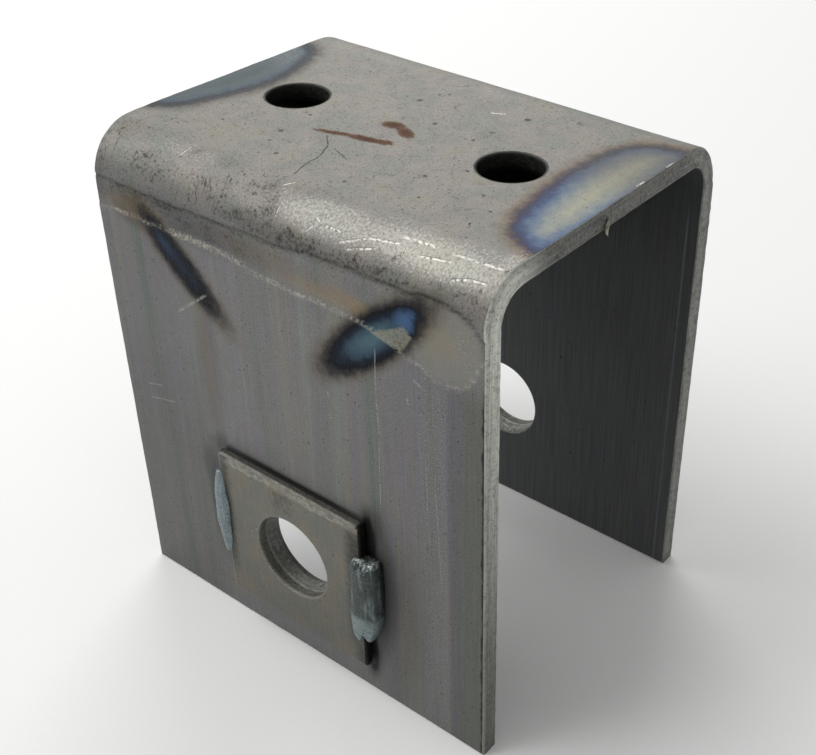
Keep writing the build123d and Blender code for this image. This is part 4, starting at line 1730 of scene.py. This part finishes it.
@dataclass
class SlipperPlate:
    """The bent strip under the web, that the end of a leaf spring slides on.

    Attributes:
        flank: how steep its flanks are, in degrees.
        bend_radius: the outside radius of its bend, which is its lowest part.
        thickness: its thickness.
        corner_cut: how far its corners are cropped.
        edge_radius: how far its edges are rounded.
    """

    flank: float = 39.7
    bend_radius: float = 24.0
    thickness: float = 4.0
    corner_cut: float = 7.0
    edge_radius: float = 0.4
    low: Vector = field(init=False)
    high: Vector = field(init=False)
    angle: float = field(init=False)
    centre_z: float = field(init=False)
    bend_run: float = field(init=False)
    end: float = field(init=False)

    def __post_init__(self) -> None:
        """Reads the size from the CAD node."""
        self.low, self.high = box_mm("slipper_plate")
        self.angle = math.radians(self.flank)
        self.centre_z = self.low.z + self.bend_radius
        self.bend_run = (self.bend_radius - self.thickness / 2) * self.angle
        straight = self.high.x - self.bend_radius * math.sin(self.angle)
        self.end = self.bend_run + straight / math.cos(self.angle)

    def fold(self, points: np.ndarray) -> np.ndarray:
        """Bends the flat pattern: the run, Y and the depth above the lower face become X, Y and Z.

        Args:
            points: run, Y and depth of each vertex.

        Returns:
            The bent points.
        """
        u, v, d = points.T
        side, run = np.where(u < 0, -1.0, 1.0), np.abs(u)
        turn = np.minimum(run / (self.bend_radius - self.thickness / 2), self.angle)
        straight = np.maximum(run - self.bend_run, 0)
        reach = self.bend_radius - d
        x = reach * np.sin(turn) + straight * math.cos(self.angle)
        z = self.centre_z - reach * np.cos(turn) + straight * math.sin(self.angle)
        return np.column_stack([side * x, v, z])

    def build(self, skin: Material, cut: Material) -> Piece:
        """Makes the plate.

        Args:
            skin: the material of its skins.
            cut: the material of its cut edges.

        Returns:
            The plate.
        """
        half_width = self.high.y

        def crop(flat: np.ndarray) -> np.ndarray:
            """Draws the ends' corners in.

            Args:
                flat: the points of the skins.

            Returns:
                The points with the corners cropped.
            """
            run = np.abs(flat[:, 0])
            loss = np.maximum(run - (self.end - self.corner_cut), 0)
            return np.column_stack([flat[:, 0], flat[:, 1] * (1 - loss / half_width)])

        end, side = self.end - self.edge_radius, half_width - self.edge_radius
        along = spaced([-end, -end + 0.4, -self.bend_run, self.bend_run, end - 0.4, end],
                       [0.4, 1.2, 0.9, 1.2, 0.4])
        across = spaced([-side, -side + 0.4, side - 0.4, side], [0.4, 1.2, 0.4])
        pattern = FlatPattern(along, across, [], Rim.sheared(self.thickness, self.edge_radius, 0.1), 61,
                              crop)
        u, v, d = pattern.points.T
        swell = 0.04 * (1 + Waviness(67)(u, v, 12.0)) * np.clip(1 - d / 2, 0, 1)
        swell -= np.clip(1 - d / 2, 0, 1) * swell[(d == 0) & (np.abs(u) < 4)].min()
        points = self.fold(np.column_stack([u, v, d + np.maximum(swell, 0)]))
        return make_piece("slipper_plate_steel", points, pattern.faces.tolist(),
                          [skin, cut], ["slipper_plate"], {"sheet": pattern.points}, pattern.finish_of)


@dataclass
class CornerBead:
    """A rippled bead in a corner under the web.

    Attributes:
        node: the CAD node that it stands for.
        start, end: its root at both ends.
        toe_a, toe_b: from the root to each toe.
        bulge: how far its face swells beyond the straight line between the toes.
        seed: the seed of its unevenness.
    """

    node: str
    start: Vector
    end: Vector
    toe_a: Vector
    toe_b: Vector
    bulge: float
    seed: int
    RIPPLE, RIPPLE_PITCH, WOBBLE, ROUND_END = 0.10, 1.6, 0.06, 2.0

    def build(self, metal: Material) -> Piece:
        """Makes the bead.

        Args:
            metal: its material.

        Returns:
            The bead.
        """
        waves = Waviness(self.seed)
        root, run = np.array(self.start), np.array(self.end - self.start)
        toe_a, toe_b = np.array(self.toe_a), np.array(self.toe_b)
        length = float(np.linalg.norm(run))
        outward = np.cross(np.cross(toe_a, toe_b), toe_b - toe_a)
        outward /= np.linalg.norm(outward)
        if outward @ (toe_a + toe_b) < 0:
            outward = -outward
        face = np.linspace(0, 1, 15)
        sections = []
        for t in np.linspace(0, 1, max(24, int(length * 3))):
            end = min(t, 1 - t) * length
            full = math.sqrt(max(0.0, 1 - (1 - min(1.0, end / self.ROUND_END)) ** 2))
            wobble = 1 + self.WOBBLE * float(waves(t * length, 0, 3.0))
            size = (0.55 + 0.45 * full) * min(wobble, 1.0)
            phase = 2 * math.pi * t * length / self.RIPPLE_PITCH + 1.5 * float(waves(t * length, 7, 4.0))
            ripple = self.RIPPLE * math.sin(phase)
            swell = (self.bulge * 0.7 + ripple) * full * 4 * face * (1 - face)
            loop = size * (toe_a[None] * (1 - face)[:, None] + toe_b[None] * face[:, None])
            loop = loop + outward[None] * swell[:, None]
            sections.append(root + run * t + np.concatenate([loop, np.zeros((1, 3))]))
        bead = Bead(sections)
        return make_piece(self.node + "_metal", bead.points, bead.faces, [metal], [self.node],
                          {"sheet": bead.points})


@dataclass
class SlipperWelds:
    """The six beads that hold the slipper plate: one across each of its ends, and four along its flanks.

    Attributes:
        root: how far out along X an end bead's root lies.
        flank_start, flank_stop: the same for the ends of a flank bead.
        leg: how wide a flank bead is on each of its sides.
        bulge: how far the beads' faces swell.
    """

    root: float = 37.0
    flank_start: float = 14.5
    flank_stop: float = 31.0
    leg: float = 4.0
    bulge: float = 0.5

    def build(self, channel: Channel, slipper: SlipperPlate, metal: Material) -> None:
        """Makes the beads.

        Args:
            channel: the channel that they are welded to.
            slipper: the slipper plate that they hold.
            metal: their material.
        """
        under_web = channel.high.z - channel.sheet
        sin, cos = math.sin(slipper.angle), math.cos(slipper.angle)
        apex = slipper.centre_z - slipper.bend_radius / cos
        for number, (side, sign) in enumerate((("left", -1), ("right", 1))):
            low, high = box_mm(f"web_weld_{side}")
            reach = max(-low.x, high.x) - self.root
            down = Vector((sign * slipper.thickness * sin, 0, -slipper.thickness * cos))
            start, end = Vector((sign * self.root, low.y, under_web)), Vector((sign * self.root, high.y,
                                                                               under_web))
            CornerBead(f"web_weld_{side}", start, end, down, Vector((sign * reach, 0, 0)), self.bulge,
                       70 + number).build(metal)
            for leg in Side:
                face = leg.value * (channel.leg_face - channel.sheet)
                start, end = (Vector((sign * x, face, apex + x * sin / cos)) for x in (self.flank_start,
                                                                                       self.flank_stop))
                toe_leg = Vector((sign * sin, 0, -cos)) * self.leg
                CornerBead(f"flank_weld_{leg.label}_{side}", start, end,
                           Vector((0, -leg.value * self.leg, 0)), toe_leg, self.bulge,
                           74 + 2 * number + (leg is Side.FAR)).build(metal)


@dataclass
class Spatter:
    """A hooked sliver of spatter that hangs on the web's right end face."""

    # How far out, to the side and up each of its sections lies, and its radius
    PATH = (
        (0.02, 0.25, 3.45, 0.10), (0.08, 0.20, 3.2, 0.30), (0.12, 0.05, 2.6, 0.42), (0.16, -0.15, 2.0, 0.44),
        (0.20, -0.30, 1.4, 0.36), (0.22, -0.22, 0.9, 0.27), (0.20, 0.05, 0.5, 0.20),
        (0.16, 0.30, 0.25, 0.13),
        (0.14, 0.45, 0.16, 0.05),
    )

    def build(self, metal: Material) -> Piece:
        """Makes the sliver.

        Args:
            metal: its material.

        Returns:
            The sliver.
        """
        low, high = box_mm("web_spatter")
        middle, face = (low.y + high.y) / 2, low.x
        waves = Waviness(83)
        turn = np.linspace(0, 2 * math.pi, 14, endpoint=False)
        places = np.linspace(0, len(self.PATH) - 1, 33)
        table = np.array(self.PATH)
        sections = []
        for place in places:
            out, shift, up, radius = (np.interp(place, range(len(table)), column) for column in table.T)
            uneven = radius * (1 + 0.18 * waves(np.cos(turn) * 2 + place, np.sin(turn) * 2, 1.0))
            loop = np.column_stack([face + out + 0.8 * uneven * np.cos(turn),
                                    middle + shift + uneven * np.sin(turn), np.full(len(turn), low.z + up)])
            loop[:, 0] = np.clip(loop[:, 0], face - 0.05, high.x)
            sections.append(loop)
        bead = Bead(sections)
        bead.points[0, 0] = high.x
        return make_piece("web_spatter_metal", bead.points, bead.faces, [metal],
                          ["web_spatter"], {"sheet": bead.points})


# Studio --------------------------------------------------------------------------------------------------


@dataclass
class Studio:
    """The floor, the soft lamps and the camera.

    Attributes:
        camera_at: where the camera stands, in millimetres.
        azimuth, elevation, roll: which way it looks, in degrees.
        focal, sensor: its focal length and sensor width in millimetres.
        shift: how far the view is off the lens axis, as parts of its width.
    """

    camera_at: tuple[float, float, float] = (144.76, -164.85, 202.19)
    azimuth: float = 35.738
    elevation: float = 33.122
    roll: float = 1.247
    focal: float = 55.715
    sensor: float = 36.0
    shift: tuple[float, float] = (-0.1294, -0.0448)

    # Each lamp's name, place and size in metres, and power in watts; the world's strength, low and high
    LAMPS = (("key", (-0.60, -0.45, 0.85), 0.9, 7.6), ("back", (-0.60, 0.75, 0.80), 0.8, 4.8))
    HORIZON, ZENITH = 0.17, 0.52

    def camera(self) -> None:
        """Sets up the camera."""
        lens = bpy.data.cameras.new("camera")
        lens.lens, lens.sensor_width = self.focal, self.sensor
        lens.shift_x, lens.shift_y = self.shift
        lens.clip_start, lens.clip_end = 0.01, 50.0
        body = bpy.data.objects.new("camera", lens)
        turn = Euler((math.radians(90 - self.elevation), 0, math.radians(self.azimuth)), "XYZ")
        roll = Matrix.Rotation(math.radians(self.roll), 4, "Z")
        place = Matrix.Translation(Vector(self.camera_at) * MM)
        body.matrix_world = place @ turn.to_matrix().to_4x4() @ roll
        bpy.context.scene.collection.objects.link(body)
        bpy.context.scene.camera = body

    def floor(self) -> None:
        """Lays a wide pale floor."""
        mesh = bpy.data.meshes.new("floor")
        half = 3.0
        mesh.from_pydata([(-half, -half, 0), (half, -half, 0), (half, half, 0), (-half, half, 0)], [],
                         [(0, 1, 2, 3)])
        g = Graph("floor_paper")
        fibre = g.noise(g.node("NewGeometry", {}).outputs["Position"], 900.0, 3)
        colour = g.mix(fibre, tone(247, 247, 246), tone(250, 250, 249))
        shader = g.node("BsdfPrincipled", {"Base Color": colour, "Roughness": 0.85})
        output = g.node("OutputMaterial", {})
        g.tree.links.new(shader.outputs[0], output.inputs[0])
        mesh.materials.append(g.material)
        floor = bpy.data.objects.new("floor", mesh)
        bpy.context.scene.collection.objects.link(floor)
        floor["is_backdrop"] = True

    def lamp(self, name: str, at: tuple[float, float, float], size: float, watts: float) -> None:
        """Hangs a square soft lamp that faces the object, at a place in metres.

        Args:
            name: the lamp's name.
            at: its place.
            size: its width in metres.
            watts: its power.
        """
        light = bpy.data.lights.new(name, "AREA")
        light.size, light.energy = size, watts
        lamp = bpy.data.objects.new(name, light)
        lamp.location = at
        lamp.rotation_euler = (Vector((0, 0, 0.05)) - Vector(at)).to_track_quat("-Z", "Y").to_euler()
        bpy.context.scene.collection.objects.link(lamp)

    def world(self, horizon: float, zenith: float) -> None:
        """Fills the space round the floor with soft light that grows from the horizon up.

        Args:
            horizon: the light's strength at the horizon.
            zenith: its strength overhead.
        """
        world = bpy.data.worlds.new("studio")
        world.use_nodes = True
        tree = world.node_tree
        place = tree.nodes.new("ShaderNodeTexCoord")
        parts = tree.nodes.new("ShaderNodeSeparateXYZ")
        rise = tree.nodes.new("ShaderNodeMapRange")
        rise.interpolation_type = "SMOOTHSTEP"
        rise.inputs["From Min"].default_value, rise.inputs["From Max"].default_value = 0.0, 0.9
        rise.inputs["To Min"].default_value, rise.inputs["To Max"].default_value = horizon, zenith
        tree.links.new(place.outputs["Generated"], parts.inputs[0])
        tree.links.new(parts.outputs[2], rise.inputs["Value"])
        tree.links.new(rise.outputs[0], tree.nodes["Background"].inputs["Strength"])
        tree.nodes["Background"].inputs["Color"].default_value = (1, 1, 1, 1)
        bpy.context.scene.world = world

    def build(self) -> None:
        """Sets up everything."""
        self.camera()
        self.floor()
        for lamp in self.LAMPS:
            self.lamp(*lamp)
        self.world(self.HORIZON, self.ZENITH)
        bpy.context.scene.view_settings.view_transform = "Standard"


def write_size() -> None:
    """Collects the CAD box and the visual model's box as lists of corners."""
    boxes = {"cad": CAD_BOX, "visual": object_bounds()}
    boxes = {name: [list(corner) for corner in box] for name, box in boxes.items()}


def main() -> None:
    """Builds the hanger piece by piece, and the studio round it."""
    logging.basicConfig(level=logging.INFO, format="%(message)s")
    skin, cut, plate = RolledSkin().build(), CutSteel().build(), PlateSkin().build()
    # burnt paints the plate's side under the heavy bead almost black: painted shade, with some weld scorch
    plate_cut = CutSteel("plate_cut", tone(104, 103, 96), end_light=(1.0, 1.0), punched=0.0, burnt=0.97).build()
    slim = BeadMetal("slim_bead", tone(118, 130, 134), tone(156, 168, 172)).build()
    heavy = BeadMetal("heavy_bead", tone(62, 71, 69), tone(132, 146, 148), low=23.0, high=36.6).build()
    spatter = BeadMetal("spatter", tone(140, 138, 124), tone(190, 188, 172)).build()
    hidden = BeadMetal("corner_bead", tone(84, 88, 90), tone(118, 122, 124)).build()
    skin_dark = PlateSkin("slipper_skin", (92, 91, 87), False).build()
    channel = Channel()
    channel.build(skin, cut)
    for side in Side:
        BorePlate(side).build(channel, plate, plate_cut)
        SlimBead(side).build(channel, slim)
        HeavyBead(side).build(channel, heavy)
    slipper = SlipperPlate()
    slipper.build(skin_dark, cut)
    SlipperWelds().build(channel, slipper, hidden)
    Spatter().build(spatter)
    Studio().build()
    write_size()


if __name__ == "__main__":
    main()
